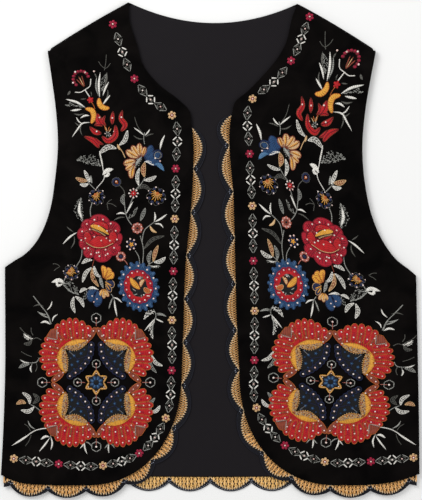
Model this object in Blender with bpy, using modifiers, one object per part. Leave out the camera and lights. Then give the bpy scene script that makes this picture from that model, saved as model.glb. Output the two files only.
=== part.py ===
"""A sleeveless velvet waistcoat with scalloped lace edges, laid flat on its back.

The garment lies on the plane z = 0 with its fronts up and its shoulders towards +Y.
Right and left are the wearer's, so the right front lies at -X.
A place on it is given as a tailor would: millimetres out from the centre line, and
millimetres of drop below the higher shoulder point. The origin is the middle of the
lying garment's outline, on the plane that it lies on.
"""

import bmesh
import bpy
import numpy as np

MM = 0.001

# Overall size and cloth thicknesses, in millimetres. The middle of the lying garment is
# half its whole length, from shoulder point to lace tips, below the shoulder point
HALF_WIDTH = 243.0
MIDDLE_DROP = 288.2
SEAM_GAP = 0.3
BACK_THICK = 1.6
LINING_THICK = 1.0
LACE_THICK = 1.2
FRONT_THICK = 1.8

# Heights of the middle of each layer, stacked with a seam gap between neighbours
BACK_Z = BACK_THICK / 2
LINING_Z = BACK_THICK + SEAM_GAP + LINING_THICK / 2
FRONT_LACE_Z = LINING_Z + LINING_THICK / 2 + SEAM_GAP + LACE_THICK / 2
FRONT_Z = FRONT_LACE_Z + LACE_THICK / 2 + SEAM_GAP + FRONT_THICK / 2
BACK_LACE_Z = LACE_THICK / 2

# Where front meets back, at the sides and shoulders, both turn through a quarter circle
TURN = (FRONT_Z - BACK_Z - SEAM_GAP) / 2
TURN_OUT = (0.65, 1.0, 1.0)
TURN_DOWN = (0.24, 0.7, 1.0)

# The back turns a little less where its shoulder seam ends at the neck, and the row of
# each panel above the underarm turns only part of the way
SEAM_END_TURN = 0.8
UNDERARM_TURN = 0.4

# The neckline and front edge, from the shoulder point down to where the corner begins.
# Columns: right front's drop, its distance out, left front's drop, its distance out
INNER_EDGE = (
    (0.6, 94.5, 2.3, 101.3),
    (17.6, 94.3, 15.7, 96.0),
    (53.7, 84.0, 50.5, 86.8),
    (70.4, 79.5, 63.2, 79.8),
    (97.6, 58.2, 84.0, 63.0),
    (114.3, 36.3, 105.0, 42.7),
    (127.1, 24.1, 117.5, 28.5),
    (145.2, 21.5, 131.0, 25.2),
    (230.0, 21.8, 235.0, 27.7),
    (306.0, 29.0, 300.0, 29.3),
    (381.0, 31.6, 358.0, 30.6),
    (427.5, 33.3, 428.6, 34.0),
)
LACE_STARTS_AT_ROW = 7
WAIST_ROW = 9

# The rounded front corner is a superellipse down to the hem
CORNER_POWER = 2.2
CORNER_SPLIT = 0.5

# The hem of each front, from the end of the corner to the side seam, columns as above
FRONT_HEM = (
    (561.0, 145.0, 561.0, 148.7),
    (560.6, 190.0, 560.2, 188.0),
    (557.8, 221.0, 556.2, 217.0),
    (549.8, HALF_WIDTH, 548.4, HALF_WIDTH),
)

# The armhole from the shoulder tip to the underarm, and the side below it, columns as above
ARMHOLE = (
    (56.8, 188.7, 56.8, 192.3),
    (91.1, 183.5, 91.1, 185.7),
    (125.9, 178.9, 125.9, 179.9),
    (166.5, 176.6, 172.3, 176.4),
    (207.1, 180.0, 212.9, 179.6),
    (241.9, 185.8, 247.7, 187.1),
    (265.1, 194.0, 270.9, 196.2),
    (282.5, 204.4, 288.3, 206.6),
    (294.1, 216.0, 299.9, 216.1),
    (302.2, 228.8, 311.5, 231.0),
    (308.6, 238.4, 318.4, 239.1),
)
SIDE = (
    (308.6, 238.4, 318.4, 239.1),
    (439.0, 238.4, 439.0, 241.6),
    (497.0, 240.3, 497.0, 242.6),
    (549.8, HALF_WIDTH, 548.4, HALF_WIDTH),
)
SHOULDER_BOW = 1.6

# The back's own edges
NECK_DEPTH = 23.0
BACK_HEM = (
    (549.8, -HALF_WIDTH),
    (551.2, -110.0),
    (552.0, 0.0),
    (551.2, 110.0),
    (548.4, HALF_WIDTH),
)

# How far the lining stays inside the back at each edge
LINING_IN_SIDE = 4.2
LINING_IN_ARMHOLE = 1.5
LINING_IN_SHOULDER = 4.2
LINING_IN_NECK = 0.8
LINING_IN_HEM = 0.8

# Scalloped lace: depths measured out from the cloth's edge. The notches of the front's
# lace are shallow where it starts, and near the side seam it is drawn straight down
LACE_UNDER = 6.0
LACE_NOTCH = 7.0
FRONT_LACE_TIP = 15.0
BACK_LACE_TIP = 17.0
FRONT_SCALLOPS = 12.2
BACK_SCALLOPS = 10
SCALLOP_ROUNDNESS = 0.8
LACE_STARTS_AT = 0.1
LACE_END_IN = 3.6
LACE_STRAIGHTENS = 40.0
STEPS_PER_SCALLOP = 8

# Where a front's scallops change their width: the notches counted from the lace's start,
# then the place of each, out and drop on the right front, out and drop on the left
FRONT_NOTCHES = (
    (1, 21.5, 194.0, 24.8, 166.9),
    (5, 29.0, 395.4, 31.0, 381.4),
    (7, 40.0, 496.0, 37.4, 474.7),
    (8, 62.8, 538.0, 57.0, 527.2),
    (9, 99.3, 558.0, 93.9, 553.1),
    (12, 232.0, 556.0, 231.9, 557.0),
)
NOTCH_STEPS = 2000

# The fronts swell a little between their seams, and hold a few soft creases.
# Columns: which front, drop, distance out, half length, half width, height, lean in degrees
CROWN = 1.2
CREASES_START_AT = 0.4
CREASES = (
    ("right", 318.0, 205.0, 42.0, 9.0, 0.7, 70.0),
    ("right", 250.0, 60.0, 60.0, 12.0, 0.5, 10.0),
    ("left", 330.0, 208.0, 46.0, 9.0, 0.7, 68.0),
    ("left", 280.0, 62.0, 55.0, 11.0, 0.6, 12.0),
    ("left", 95.0, 150.0, 34.0, 9.0, 0.5, 40.0),
)

# Grid sizes
ARMHOLE_ROWS = 18
SIDE_ROWS = 10
FRONT_COLUMNS = 11
BACK_SHOULDER_COLUMNS = 5
BACK_NECK_COLUMNS = 12
FINE_STEPS = 600
CORNER_STEPS = 60

# Colours and finishes: name, colour, roughness
VELVET = ("black_velvet", (0.012, 0.010, 0.010, 1.0), 0.85)
LINING = ("charcoal_lining", (0.030, 0.028, 0.030, 1.0), 0.55)
LACE = ("gold_lace", (0.55, 0.34, 0.12, 1.0), 0.5)

# Where each side's pair of columns starts in the tables, and what turns a distance out
# on the right half into an x
FIRST_COLUMN = {"right": 0, "left": 2}
MIRROR = np.array([-1.0, 1.0])


def clear_scene():
    for thing in list(bpy.data.objects):
        bpy.data.objects.remove(thing)


def column_pair(rows, side):
    """One front's rows of a table, as points (out, drop)."""
    first = FIRST_COLUMN[side]
    return np.array([(row[first + 1], row[first]) for row in rows])


def along(points):
    """Distance run along a line of points, from its start."""
    steps = np.linalg.norm(np.diff(points, axis=0), axis=1)
    return np.concatenate([[0.0], np.cumsum(steps)])


def evenly(points, count):
    """The same line with count steps of equal length."""
    run = along(points)
    at = np.linspace(0.0, run[-1], count + 1)
    return np.stack([np.interp(at, run, points[:, k]) for k in (0, 1)], axis=1)


def smooth(knots):
    """A fine line on a smooth curve through the knots: a cubic between each pair,
    whose slope at a knot follows its neighbours."""
    run = along(knots)
    slope = np.gradient(knots, run, axis=0)
    at = np.linspace(0.0, run[-1], FINE_STEPS + 1)
    i = np.clip(np.searchsorted(run, at, side="right") - 1, 0, len(knots) - 2)
    gap = (run[i + 1] - run[i])[:, None]
    t = (at - run[i])[:, None] / gap
    return (
        knots[i] * (2 * t**3 - 3 * t**2 + 1)
        + knots[i + 1] * (3 * t**2 - 2 * t**3)
        + slope[i] * gap * (t**3 - 2 * t**2 + t)
        + slope[i + 1] * gap * (t**3 - t**2)
    )


def joined(*lines):
    """Lines that follow on, as one, without the points that repeat."""
    return np.concatenate([lines[0]] + [line[1:] for line in lines[1:]])


def corner(side, start, end):
    """The rounded front corner between two shares of its turn, 0 at the front edge."""
    edge = column_pair(INNER_EDGE, side)[-1]
    hem = column_pair(FRONT_HEM, side)[0]
    turn = np.linspace(start, end, CORNER_STEPS) * np.pi / 2
    power = 2 / CORNER_POWER
    across = 1 - np.cos(turn) ** power
    down = np.sin(turn) ** power
    return edge + (hem - edge) * np.stack([across, down], axis=1)


def bowed_shoulder(inner, tip, count):
    """The shoulder seam from the neck to the tip, bowed up a little in the middle."""
    t = np.linspace(0.0, 1.0, count + 1)[:, None]
    line = inner + (tip - inner) * t
    line[:, 1] -= SHOULDER_BOW * 4 * t[:, 0] * (1 - t[:, 0])
    return line


def patch(top, bottom, first, last):
    """A grid of points filling four edge lines: the Coons patch between them."""
    v = np.linspace(0.0, 1.0, len(first))[:, None, None]
    u = np.linspace(0.0, 1.0, len(top))[None, :, None]
    between_rows = (1 - v) * top[None] + v * bottom[None]
    between_columns = (1 - u) * first[:, None] + u * last[:, None]
    corners = (
        (1 - u) * (1 - v) * top[0]
        + u * (1 - v) * top[-1]
        + (1 - u) * v * bottom[0]
        + u * v * bottom[-1]
    )
    return between_rows + between_columns - corners


def start_lower(line, inset):
    """The line without its first stretch, so that it starts lower by the inset."""
    start = line[0, 1] + inset
    below = line[line[:, 1] > start]
    first = np.interp(start, line[:, 1], line[:, 0])
    return np.vstack([[first, start], below])


def outer_line(side, top_inset, armhole_inset, side_inset):
    """The armhole and side of one half, moved in towards the centre line."""
    hole = start_lower(smooth(column_pair(ARMHOLE, side)), top_inset)
    seam = smooth(column_pair(SIDE, side))
    line = joined(evenly(hole, ARMHOLE_ROWS), evenly(seam, SIDE_ROWS))
    first_turning = ARMHOLE_ROWS - 1
    line[:first_turning, 0] -= armhole_inset
    line[first_turning:, 0] -= side_inset
    return line


def side_strength():
    """How far each row of a panel turns over at its side: fully below the underarm."""
    strength = np.zeros(ARMHOLE_ROWS + SIDE_ROWS + 1)
    strength[ARMHOLE_ROWS - 1] = UNDERARM_TURN
    strength[ARMHOLE_ROWS:] = 1.0
    return strength


def turned_over(grid, heights, sense, both_sides, shoulder_strength):
    """A panel's grid with the rows and columns added that turn over at its seams.

    The shoulder rows come before the first row, and the side columns after the last
    column, and before the first too where the panel has both sides. sense is 1 where
    the cloth turns up towards the seam and -1 where it turns down.
    """
    rows, columns = heights.shape
    added = len(TURN_OUT)
    lead = added if both_sides else 0
    row_place = np.arange(rows + added) - added
    column_place = np.arange(lead + columns + added) - lead
    row = np.clip(row_place, 0, rows - 1)
    column = np.clip(column_place, 0, columns - 1)
    row_step = np.abs(row_place - row)[:, None]
    column_step = (column_place - column)[None, :]

    side = side_strength()[row][:, None]
    shoulder = shoulder_strength[column][None, :]
    flat = grid[row][:, column]
    x = flat[..., 0] + np.sign(column_step) * turn_reach(np.abs(column_step), side)
    drop = flat[..., 1] - turn_reach(row_step, shoulder)
    turned = np.array((0.0,) + TURN_DOWN) * TURN
    fall = np.maximum(side * turned[np.abs(column_step)], shoulder * turned[row_step])
    return np.dstack([x, drop, heights[row][:, column] + sense * fall])


def turn_reach(step, strength):
    """How far out each added step lies: evenly spaced where the cloth stays flat, and
    round the quarter circle where it turns."""
    even = TURN * step / len(TURN_OUT)
    turned = np.array((0.0,) + TURN_OUT)[step] * TURN
    return even + (turned - even) * strength


def crease_lift(side, out, drop):
    """Height that the soft creases add: each is a ridge that fades along and across."""
    lift = np.zeros(out.shape)
    for front, at_drop, at_out, half_length, half_width, height, lean in CREASES:
        if front != side:
            continue
        angle = np.radians(lean)
        run = (out - at_out) * np.sin(angle) + (drop - at_drop) * np.cos(angle)
        off = (out - at_out) * np.cos(angle) - (drop - at_drop) * np.sin(angle)
        lift += height * np.exp(-((run / half_length) ** 2) - (off / half_width) ** 2)
    return lift


def front_edge(side, first_row, last_row):
    """The neckline and front edge between two rows of their table, by drop."""
    fine = smooth(column_pair(INNER_EDGE, side))
    drops = column_pair(INNER_EDGE, side)[:, 1]
    return fine[(fine[:, 1] >= drops[first_row]) & (fine[:, 1] <= drops[last_row])]


def front_hem(side, end_in):
    """The straight part of a front's hem, ending short of the side seam."""
    hem = smooth(column_pair(FRONT_HEM, side))
    return hem[hem[:, 0] <= HALF_WIDTH - end_in]


def front_points(side):
    """The middle surface of one front as a grid of (distance out, drop, height)."""
    seam_inset = TURN + FRONT_THICK / 2
    upper = start_lower(front_edge(side, 0, WAIST_ROW), seam_inset)
    lower = joined(front_edge(side, WAIST_ROW, -1), corner(side, 0.0, CORNER_SPLIT))
    inner = joined(evenly(upper, ARMHOLE_ROWS), evenly(lower, SIDE_ROWS))
    outer = outer_line(side, seam_inset, TURN, seam_inset)
    top = bowed_shoulder(inner[0], outer[0], FRONT_COLUMNS)
    hem = joined(corner(side, CORNER_SPLIT, 1.0), front_hem(side, seam_inset))
    bottom = evenly(np.vstack([hem, outer[-1]]), FRONT_COLUMNS)
    inner[-1] = bottom[0]

    grid = patch(top, bottom, inner, outer)
    v = np.linspace(0.0, 1.0, len(inner))[:, None]
    u = np.linspace(0.0, 1.0, len(top))[None, :]
    swell = np.sin(np.pi * u) * np.sqrt(np.sin(np.pi * v).clip(0.0))
    creases = crease_lift(side, grid[..., 0], grid[..., 1])
    lift = swell * CROWN + np.minimum(1.0, swell / CREASES_START_AT) * creases
    return turned_over(grid, FRONT_Z + lift, -1, False, np.ones(len(top)))


def back_top(shoulder_inset, neck_inset):
    """The back's top edge from the right shoulder tip to the left one, by way of the
    neck, which is a parabola hung between the two shoulder points."""
    right, left = (column_pair(INNER_EDGE, side)[0] for side in ("right", "left"))
    right_tip, left_tip = (column_pair(ARMHOLE, side)[0] for side in ("right", "left"))
    right, right_tip = right * MIRROR, right_tip * MIRROR
    t = np.linspace(0.0, 1.0, BACK_NECK_COLUMNS + 1)[:, None]
    neck = right + (left - right) * t
    neck[:, 1] += NECK_DEPTH * 4 * t[:, 0] * (1 - t[:, 0]) + neck_inset
    first = bowed_shoulder(right, right_tip, BACK_SHOULDER_COLUMNS)[::-1]
    last = bowed_shoulder(left, left_tip, BACK_SHOULDER_COLUMNS)
    first[:, 1] += shoulder_inset
    last[:, 1] += shoulder_inset
    neck[-1] = last[0]
    return joined(first, neck, last)


def back_grid(shoulder_inset, neck_inset, armhole_inset, side_inset, hem_inset):
    """The back in plan as a grid of (x, drop), each edge moved in by its inset."""
    right = outer_line("right", shoulder_inset, armhole_inset, side_inset) * MIRROR
    left = outer_line("left", shoulder_inset, armhole_inset, side_inset)
    top = back_top(shoulder_inset, neck_inset)
    top[0], top[-1] = right[0], left[0]
    hem = smooth(np.array([(x, drop) for drop, x in BACK_HEM]))
    hem[:, 1] -= hem_inset
    right[-1, 1] -= hem_inset
    left[-1, 1] -= hem_inset
    inside = (hem[:, 0] > right[-1, 0]) & (hem[:, 0] < left[-1, 0])
    hem = np.vstack([right[-1], hem[inside], left[-1]])
    return patch(top, evenly(hem, len(top) - 1), right, left)


def back_points():
    """The middle surface of the back as a grid of (x, drop, height)."""
    seam_inset = TURN + BACK_THICK / 2
    grid = back_grid(seam_inset, TURN, TURN, seam_inset, 0.0)
    turning = np.ones(grid.shape[1])
    neck = slice(BACK_SHOULDER_COLUMNS, -BACK_SHOULDER_COLUMNS)
    turning[neck] = 0.0
    turning[neck][[0, -1]] = SEAM_END_TURN
    return turned_over(grid, np.full(grid.shape[:2], BACK_Z), 1, True, turning)


def lining_points():
    """The middle surface of the lining, flat on the back and a little inside it."""
    grid = back_grid(
        LINING_IN_SHOULDER,
        LINING_IN_NECK,
        LINING_IN_ARMHOLE,
        LINING_IN_SIDE,
        LINING_IN_HEM,
    )
    return with_height(grid, LINING_Z)


def with_height(grid, z):
    return np.dstack([grid, np.full(grid.shape[:2], z)])


def scallop_steps(scallops):
    """Even steps through the scallops, as counts of scallops from the lace's start."""
    return np.append(np.arange(0.0, scallops, 1 / STEPS_PER_SCALLOP), scallops)


def scallop_depth(steps, tip, notch):
    """Depth of a scalloped edge at each step through it: arcs that meet in notches."""
    arc = np.abs(np.sin(np.pi * steps))
    return notch + (tip - notch) * arc**SCALLOP_ROUNDNESS


def lace_strip(path, depth, under, z):
    """A flat strip of lace that follows a cloth's edge, as a grid of points. It starts
    under the cloth, or with a negative under a seam's gap beyond its edge."""
    tangent = np.gradient(path, along(path), axis=0)
    tangent /= np.linalg.norm(tangent, axis=1)[:, None]
    outward = np.stack([-tangent[:, 1], tangent[:, 0]], axis=1)
    near_side = np.clip((HALF_WIDTH - np.abs(path[:, 0])) / LACE_STRAIGHTENS, 0.0, 1.0)
    outward[:, 0] *= near_side
    outward /= np.linalg.norm(outward, axis=1)[:, None]
    reach = np.stack([np.full(len(path), -under), depth / 2, depth], axis=1)
    return with_height(path[:, None] + outward[:, None] * reach[..., None], z)


def notch_runs(side, edge):
    """The count of each notch of a front's lace and how far along the edge it lies: the
    run of whichever of many even steps along the edge is nearest to its place."""
    rows = np.array(FRONT_NOTCHES)
    places = rows[:, 1:3] if side == "right" else rows[:, 3:5]
    steps = evenly(edge, NOTCH_STEPS)
    nearest = ((steps[:, None] - places[None]) ** 2).sum(axis=2).argmin(axis=0)
    return np.append(0.0, rows[:, 0]), np.append(0.0, along(steps)[nearest])


def front_lace_points(side):
    """The lace along one front edge, its corner and its hem."""
    edge = joined(
        front_edge(side, LACE_STARTS_AT_ROW, -1),
        corner(side, 0.0, 1.0),
        front_hem(side, LACE_END_IN),
    )
    edge_run = along(edge)
    count, notch_run = notch_runs(side, edge)
    steps = scallop_steps(FRONT_SCALLOPS)
    run = np.interp(
        steps, np.append(count, FRONT_SCALLOPS), np.append(notch_run, edge_run[-1])
    )
    path = np.stack([np.interp(run, edge_run, p) for p in edge.T], axis=1)
    notch = LACE_NOTCH * np.clip(2 * steps, LACE_STARTS_AT, 1.0)
    depth = scallop_depth(steps, FRONT_LACE_TIP, notch)
    return lace_strip(path, depth, LACE_UNDER, FRONT_LACE_Z)


def back_lace_points():
    """The lace along the back's hem, edge to edge with it."""
    hem = smooth(np.array([(x, drop) for drop, x in BACK_HEM]))
    hem = hem[np.abs(hem[:, 0]) <= HALF_WIDTH - LACE_END_IN]
    path = evenly(hem, BACK_SCALLOPS * STEPS_PER_SCALLOP)
    steps = np.linspace(0.0, BACK_SCALLOPS, len(path))
    depth = scallop_depth(steps, BACK_LACE_TIP, LACE_NOTCH)
    return lace_strip(path, depth, -SEAM_GAP, BACK_LACE_Z)


def material(finish):
    name, colour, roughness = finish
    made = bpy.data.materials.get(name)
    if made is None:
        made = bpy.data.materials.new(name)
        made.use_nodes = True
        shader = made.node_tree.nodes["Principled BSDF"]
        shader.inputs["Base Color"].default_value = colour
        shader.inputs["Roughness"].default_value = roughness
        shader.inputs["Metallic"].default_value = 0.0
    return made


def cloth(name, points, thick, finish, parts):
    """A sheet of cloth: a plane grid moved to the points, with a wall's thickness."""
    rows, columns = points.shape[:2]
    grid = bmesh.new()
    bmesh.ops.create_grid(grid, x_segments=columns - 1, y_segments=rows - 1, size=1.0)
    for vert in grid.verts:
        column = round((vert.co.x + 1) / 2 * (columns - 1))
        row = round((1 - vert.co.y) / 2 * (rows - 1))
        x, drop, z = points[row, column]
        vert.co = (x * MM, (MIDDLE_DROP - drop) * MM, z * MM)
    mesh = bpy.data.meshes.new(name)
    grid.to_mesh(mesh)
    grid.free()
    mesh.materials.append(material(finish))
    sheet = bpy.data.objects.new(name, mesh)
    parts.objects.link(sheet)
    wall = sheet.modifiers.new("wall", "SOLIDIFY")
    wall.thickness = thick * MM
    wall.offset = 0.0
    wall.use_even_offset = True
    return sheet


def on_the_right(points):
    """A grid of the right half: distances out become negative x, columns reversed."""
    return (points * np.append(MIRROR, 1.0))[:, ::-1]


def build():
    clear_scene()
    parts = bpy.data.collections.new("waistcoat")
    bpy.context.scene.collection.children.link(parts)
    cloth("back_velvet", back_points(), BACK_THICK, VELVET, parts)
    cloth("back_lining", lining_points(), LINING_THICK, LINING, parts)
    cloth("back_lace", back_lace_points(), LACE_THICK, LACE, parts)
    for side in ("right", "left"):
        front, lace = front_points(side), front_lace_points(side)
        if side == "right":
            front, lace = on_the_right(front), on_the_right(lace)
        cloth(f"{side}_front_velvet", front, FRONT_THICK, VELVET, parts)
        cloth(f"{side}_front_lace", lace, LACE_THICK, LACE, parts)


build()
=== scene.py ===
# %% [markdown]
# # An embroidered velvet waistcoat, laid flat
#
# This lesson dresses a plain sewn model of a waistcoat: black velvet, a charcoal lining,
# gold and navy lace round the edges, and flowers sewn in thread and beads on both fronts.
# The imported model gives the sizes, and every object is in metres in its frame.
# A tailor measures a garment from its centre line and its shoulder, so a place here is
# worked out in millimetres out and millimetres of drop, and turned to metres at the end.

import bpy
import numpy as np
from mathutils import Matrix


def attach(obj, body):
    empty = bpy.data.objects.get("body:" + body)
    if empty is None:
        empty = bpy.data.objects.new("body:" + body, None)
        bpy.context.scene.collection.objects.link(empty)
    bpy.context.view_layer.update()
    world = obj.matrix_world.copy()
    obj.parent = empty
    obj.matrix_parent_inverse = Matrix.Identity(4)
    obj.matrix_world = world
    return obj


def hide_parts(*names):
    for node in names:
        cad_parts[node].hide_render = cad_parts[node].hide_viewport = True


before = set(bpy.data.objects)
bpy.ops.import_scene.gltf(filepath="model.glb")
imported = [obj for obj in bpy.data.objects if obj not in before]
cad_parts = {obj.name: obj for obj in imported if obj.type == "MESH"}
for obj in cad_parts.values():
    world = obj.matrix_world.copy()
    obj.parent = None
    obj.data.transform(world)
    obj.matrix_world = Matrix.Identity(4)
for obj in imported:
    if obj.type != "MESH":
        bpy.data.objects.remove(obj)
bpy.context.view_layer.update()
MM = 0.001
print("nodes:", sorted(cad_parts))

# %% [markdown]
# ## Camera, floor and light
#
# The photo looks straight down on the garment. A long lens from 1.6 metres keeps the
# edges parallel, as a catalogue photo does. The floor is plain and nearly white. Big soft
# lights do what softboxes do in a studio: they show pile and thread without hard shadows,
# and the one at the upper left is stronger, so that the stitching throws a little shade.

# %% Camera straight above
EYE = (0.0009, -0.0001, 1.616)
LENS_MM = 100.0
SENSOR_MM = 36.0

camera_data = bpy.data.cameras.new("camera")
camera_data.lens = LENS_MM
camera_data.sensor_width = SENSOR_MM
camera = bpy.data.objects.new("camera", camera_data)
camera.location = EYE
bpy.context.scene.collection.objects.link(camera)
bpy.context.scene.camera = camera
print("view height in mm:", round(EYE[2] * SENSOR_MM / LENS_MM / MM))

# %% Colours, nodes and walls


def paint(code):
    """An sRGB hex colour as linear light: each channel c becomes ((c + 0.055) / 1.055)
    to the power 2.4, or c / 12.92 where it is very dark."""
    c = np.array([int(code[i : i + 2], 16) for i in (1, 3, 5)]) / 255
    light = np.where(c <= 0.04045, c / 12.92, ((c + 0.055) / 1.055) ** 2.4)
    return (*light.tolist(), 1.0)


def add(tree, kind, inputs=(), **settings):
    """One node with its settings, and its inputs as plain values or as links."""
    made = tree.nodes.new(kind)
    for name, value in settings.items():
        setattr(made, name, value)
    for socket, value in dict(inputs).items():
        if isinstance(value, bpy.types.NodeSocket):
            tree.links.new(value, made.inputs[socket])
        else:
            made.inputs[socket].default_value = value
    return made


def new_material(name, **surface):
    """A material whose plain numbers and colours are set straight on the shader."""
    made = bpy.data.materials.new(name)
    made.use_nodes = True
    tree = made.node_tree
    shader = tree.nodes["Principled BSDF"]
    for socket, value in surface.items():
        shader.inputs[socket.replace("_", " ")].default_value = value
    return made, tree, shader


def noise(tree, place, size_mm, **settings):
    """Soft noise whose clouds are about a size wide."""
    inputs = {"Vector": place, "Scale": 1 / (size_mm * MM), **settings}
    return add(tree, "ShaderNodeTexNoise", inputs).outputs["Fac"]


def tone_between(tree, share, dark, light, low=0.0, high=1.0):
    """A colour that goes from dark to light while a share goes from low to high."""
    tone = add(tree, "ShaderNodeValToRGB", {"Fac": share})
    dark_stop, light_stop = tone.color_ramp.elements
    dark_stop.position, dark_stop.color = low, paint(dark)
    light_stop.position, light_stop.color = high, paint(light)
    return tone.outputs["Color"]


def bump(tree, height, deep_mm, strength, **settings):
    """Small relief drawn by shading alone, from a height between 0 and 1."""
    inputs = {"Height": height, "Distance": deep_mm * MM, "Strength": strength, **settings}
    return add(tree, "ShaderNodeBump", inputs).outputs["Normal"]


def give_wall(piece, thick_mm):
    """Thickness for a sheet, half on each side of its middle surface."""
    wall = piece.modifiers.new("wall", "SOLIDIFY")
    wall.thickness = thick_mm * MM
    wall.offset = 0.0


def print_made(name, thing):
    mesh = thing.data
    print(f"{name}: {len(mesh.vertices)} points, {len(mesh.polygons)} faces")


# %% Floor
# Photo paper: matt, almost white
floor_paper, tree, shader = new_material(
    "white_photo_paper", Base_Color=paint("#F4F4F3"), Roughness=0.9, Specular_IOR_Level=0.1
)
FLOOR_HALF = 2.0
FLOOR_DOWN = 0.1 * MM
corner = np.array([(-1, -1), (1, -1), (1, 1), (-1, 1)]) * FLOOR_HALF
floor_mesh = bpy.data.meshes.new("floor")
floor_mesh.from_pydata([(x, y, -FLOOR_DOWN) for x, y in corner], [], [(0, 1, 2, 3)])
floor_mesh.materials.append(floor_paper)
floor = bpy.data.objects.new("floor", floor_mesh)
bpy.context.scene.collection.objects.link(floor)

# %% Lights
WORLD_LIGHT = 0.62
SOFTBOXES = (
    ("upper_left_softbox", (-0.95, 0.95, 1.15), 0.9, 17.0),
    ("right_softbox", (1.2, -0.1, 1.3), 1.1, 5.0),
)

world = bpy.data.worlds.new("studio")
world.use_nodes = True
world.node_tree.nodes["Background"].inputs["Color"].default_value = paint("#FFFFFF")
world.node_tree.nodes["Background"].inputs["Strength"].default_value = WORLD_LIGHT
bpy.context.scene.world = world
for name, place, size, power in SOFTBOXES:
    softbox = bpy.data.lights.new(name, "AREA")
    softbox.size = size
    softbox.energy = power
    lamp = bpy.data.objects.new(name, softbox)
    lamp.location = place
    away = np.array(place) / np.linalg.norm(place)
    lamp.rotation_euler = (np.arccos(away[2]), 0.0, np.arctan2(away[0], -away[1]))
    bpy.context.scene.collection.objects.link(lamp)
bpy.context.scene.view_settings.view_transform = "Standard"
print("lights:", len(SOFTBOXES), "and the room")

# %% [markdown]
# ## The pattern
#
# A waistcoat starts as a paper pattern, and so does this one: a few measured points on
# each edge, with a smooth curve drawn through them. The same tables shaped the sewn model,
# so the fine cloth made here lies where its plain solids are. Each table holds the right
# front's drop and distance out, then the left front's, because the two differ a little.

# %% Pattern tables
HALF_WIDTH = 243.0
MIDDLE_DROP = 288.2
INNER_EDGE = (
    (0.6, 94.5, 2.3, 101.3),
    (17.6, 94.3, 15.7, 96.0),
    (53.7, 84.0, 50.5, 86.8),
    (70.4, 79.5, 63.2, 79.8),
    (97.6, 58.2, 84.0, 63.0),
    (114.3, 36.3, 105.0, 42.7),
    (127.1, 24.1, 117.5, 28.5),
    (145.2, 21.5, 131.0, 25.2),
    (230.0, 21.8, 235.0, 27.7),
    (306.0, 29.0, 300.0, 29.3),
    (381.0, 31.6, 358.0, 30.6),
    (427.5, 33.3, 428.6, 34.0),
)
LACE_STARTS_AT_ROW = 7
WAIST_ROW = 9
FRONT_HEM = (
    (561.0, 145.0, 561.0, 148.7),
    (560.6, 190.0, 560.2, 188.0),
    (557.8, 221.0, 556.2, 217.0),
    (549.8, HALF_WIDTH, 548.4, HALF_WIDTH),
)
ARMHOLE = (
    (56.8, 188.7, 56.8, 192.3),
    (91.1, 183.5, 91.1, 185.7),
    (125.9, 178.9, 125.9, 179.9),
    (166.5, 176.6, 172.3, 176.4),
    (207.1, 180.0, 212.9, 179.6),
    (241.9, 185.8, 247.7, 187.1),
    (265.1, 194.0, 270.9, 196.2),
    (282.5, 204.4, 288.3, 206.6),
    (294.1, 216.0, 299.9, 216.1),
    (302.2, 228.8, 311.5, 231.0),
    (308.6, 238.4, 318.4, 239.1),
)
SIDE = (
    (308.6, 238.4, 318.4, 239.1),
    (439.0, 238.4, 439.0, 241.6),
    (497.0, 240.3, 497.0, 242.6),
    (549.8, HALF_WIDTH, 548.4, HALF_WIDTH),
)
BACK_HEM = (
    (549.8, -HALF_WIDTH),
    (551.2, -110.0),
    (552.0, 0.0),
    (551.2, 110.0),
    (548.4, HALF_WIDTH),
)
CORNER_POWER = 2.2
SHOULDER_BOW = 1.6
NECK_DEPTH = 23.0
FIRST_COLUMN = {"right": 0, "left": 2}
OUTWARD = {"right": -1.0, "left": 1.0}

# %% Cloth thicknesses and the heights of the layers, in millimetres
SEAM_GAP = 0.3
BACK_THICK, LINING_THICK, LACE_THICK, FRONT_THICK = 1.6, 1.0, 1.2, 1.8
BACK_Z = BACK_THICK / 2
LINING_Z = BACK_THICK + SEAM_GAP + LINING_THICK / 2
FRONT_LACE_Z = LINING_Z + LINING_THICK / 2 + SEAM_GAP + LACE_THICK / 2
FRONT_Z = FRONT_LACE_Z + LACE_THICK / 2 + SEAM_GAP + FRONT_THICK / 2
BACK_LACE_Z = LACE_THICK / 2
TURN = (FRONT_Z - BACK_Z - SEAM_GAP) / 2
print("velvet turns over at the seams with a radius of", round(TURN, 2), "mm")

# %% Lines drawn through measured points


def column_pair(rows, side):
    """One front's rows of a table, as points (out, drop)."""
    first = FIRST_COLUMN[side]
    return np.array([(row[first + 1], row[first]) for row in rows])


def along(points):
    """Distance run along a line: the sum of the lengths of its steps so far."""
    steps = np.linalg.norm(np.diff(points, axis=0), axis=1)
    return np.concatenate([[0.0], np.cumsum(steps)])


def evenly(points, count):
    """The same line cut into count equal steps, by looking up equal distances run."""
    run = along(points)
    at = np.linspace(0.0, run[-1], count + 1)
    return np.stack([np.interp(at, run, p) for p in points.T], axis=1)


def smooth(knots, count=600):
    """A cubic between each pair of knots (2t^3 - 3t^2 + 1 of the first and its partner
    for the second), whose slope at a knot follows the knots beside it."""
    knots = np.asarray(knots, float)
    run = along(knots)
    slope = np.gradient(knots, run, axis=0)
    at = np.linspace(0.0, run[-1], count + 1)
    i = np.clip(np.searchsorted(run, at, side="right") - 1, 0, len(knots) - 2)
    gap = (run[i + 1] - run[i])[:, None]
    t = (at - run[i])[:, None] / gap
    return (
        knots[i] * (2 * t**3 - 3 * t**2 + 1)
        + knots[i + 1] * (3 * t**2 - 2 * t**3)
        + slope[i] * gap * (t**3 - 2 * t**2 + t)
        + slope[i + 1] * gap * (t**3 - t**2)
    )


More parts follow.
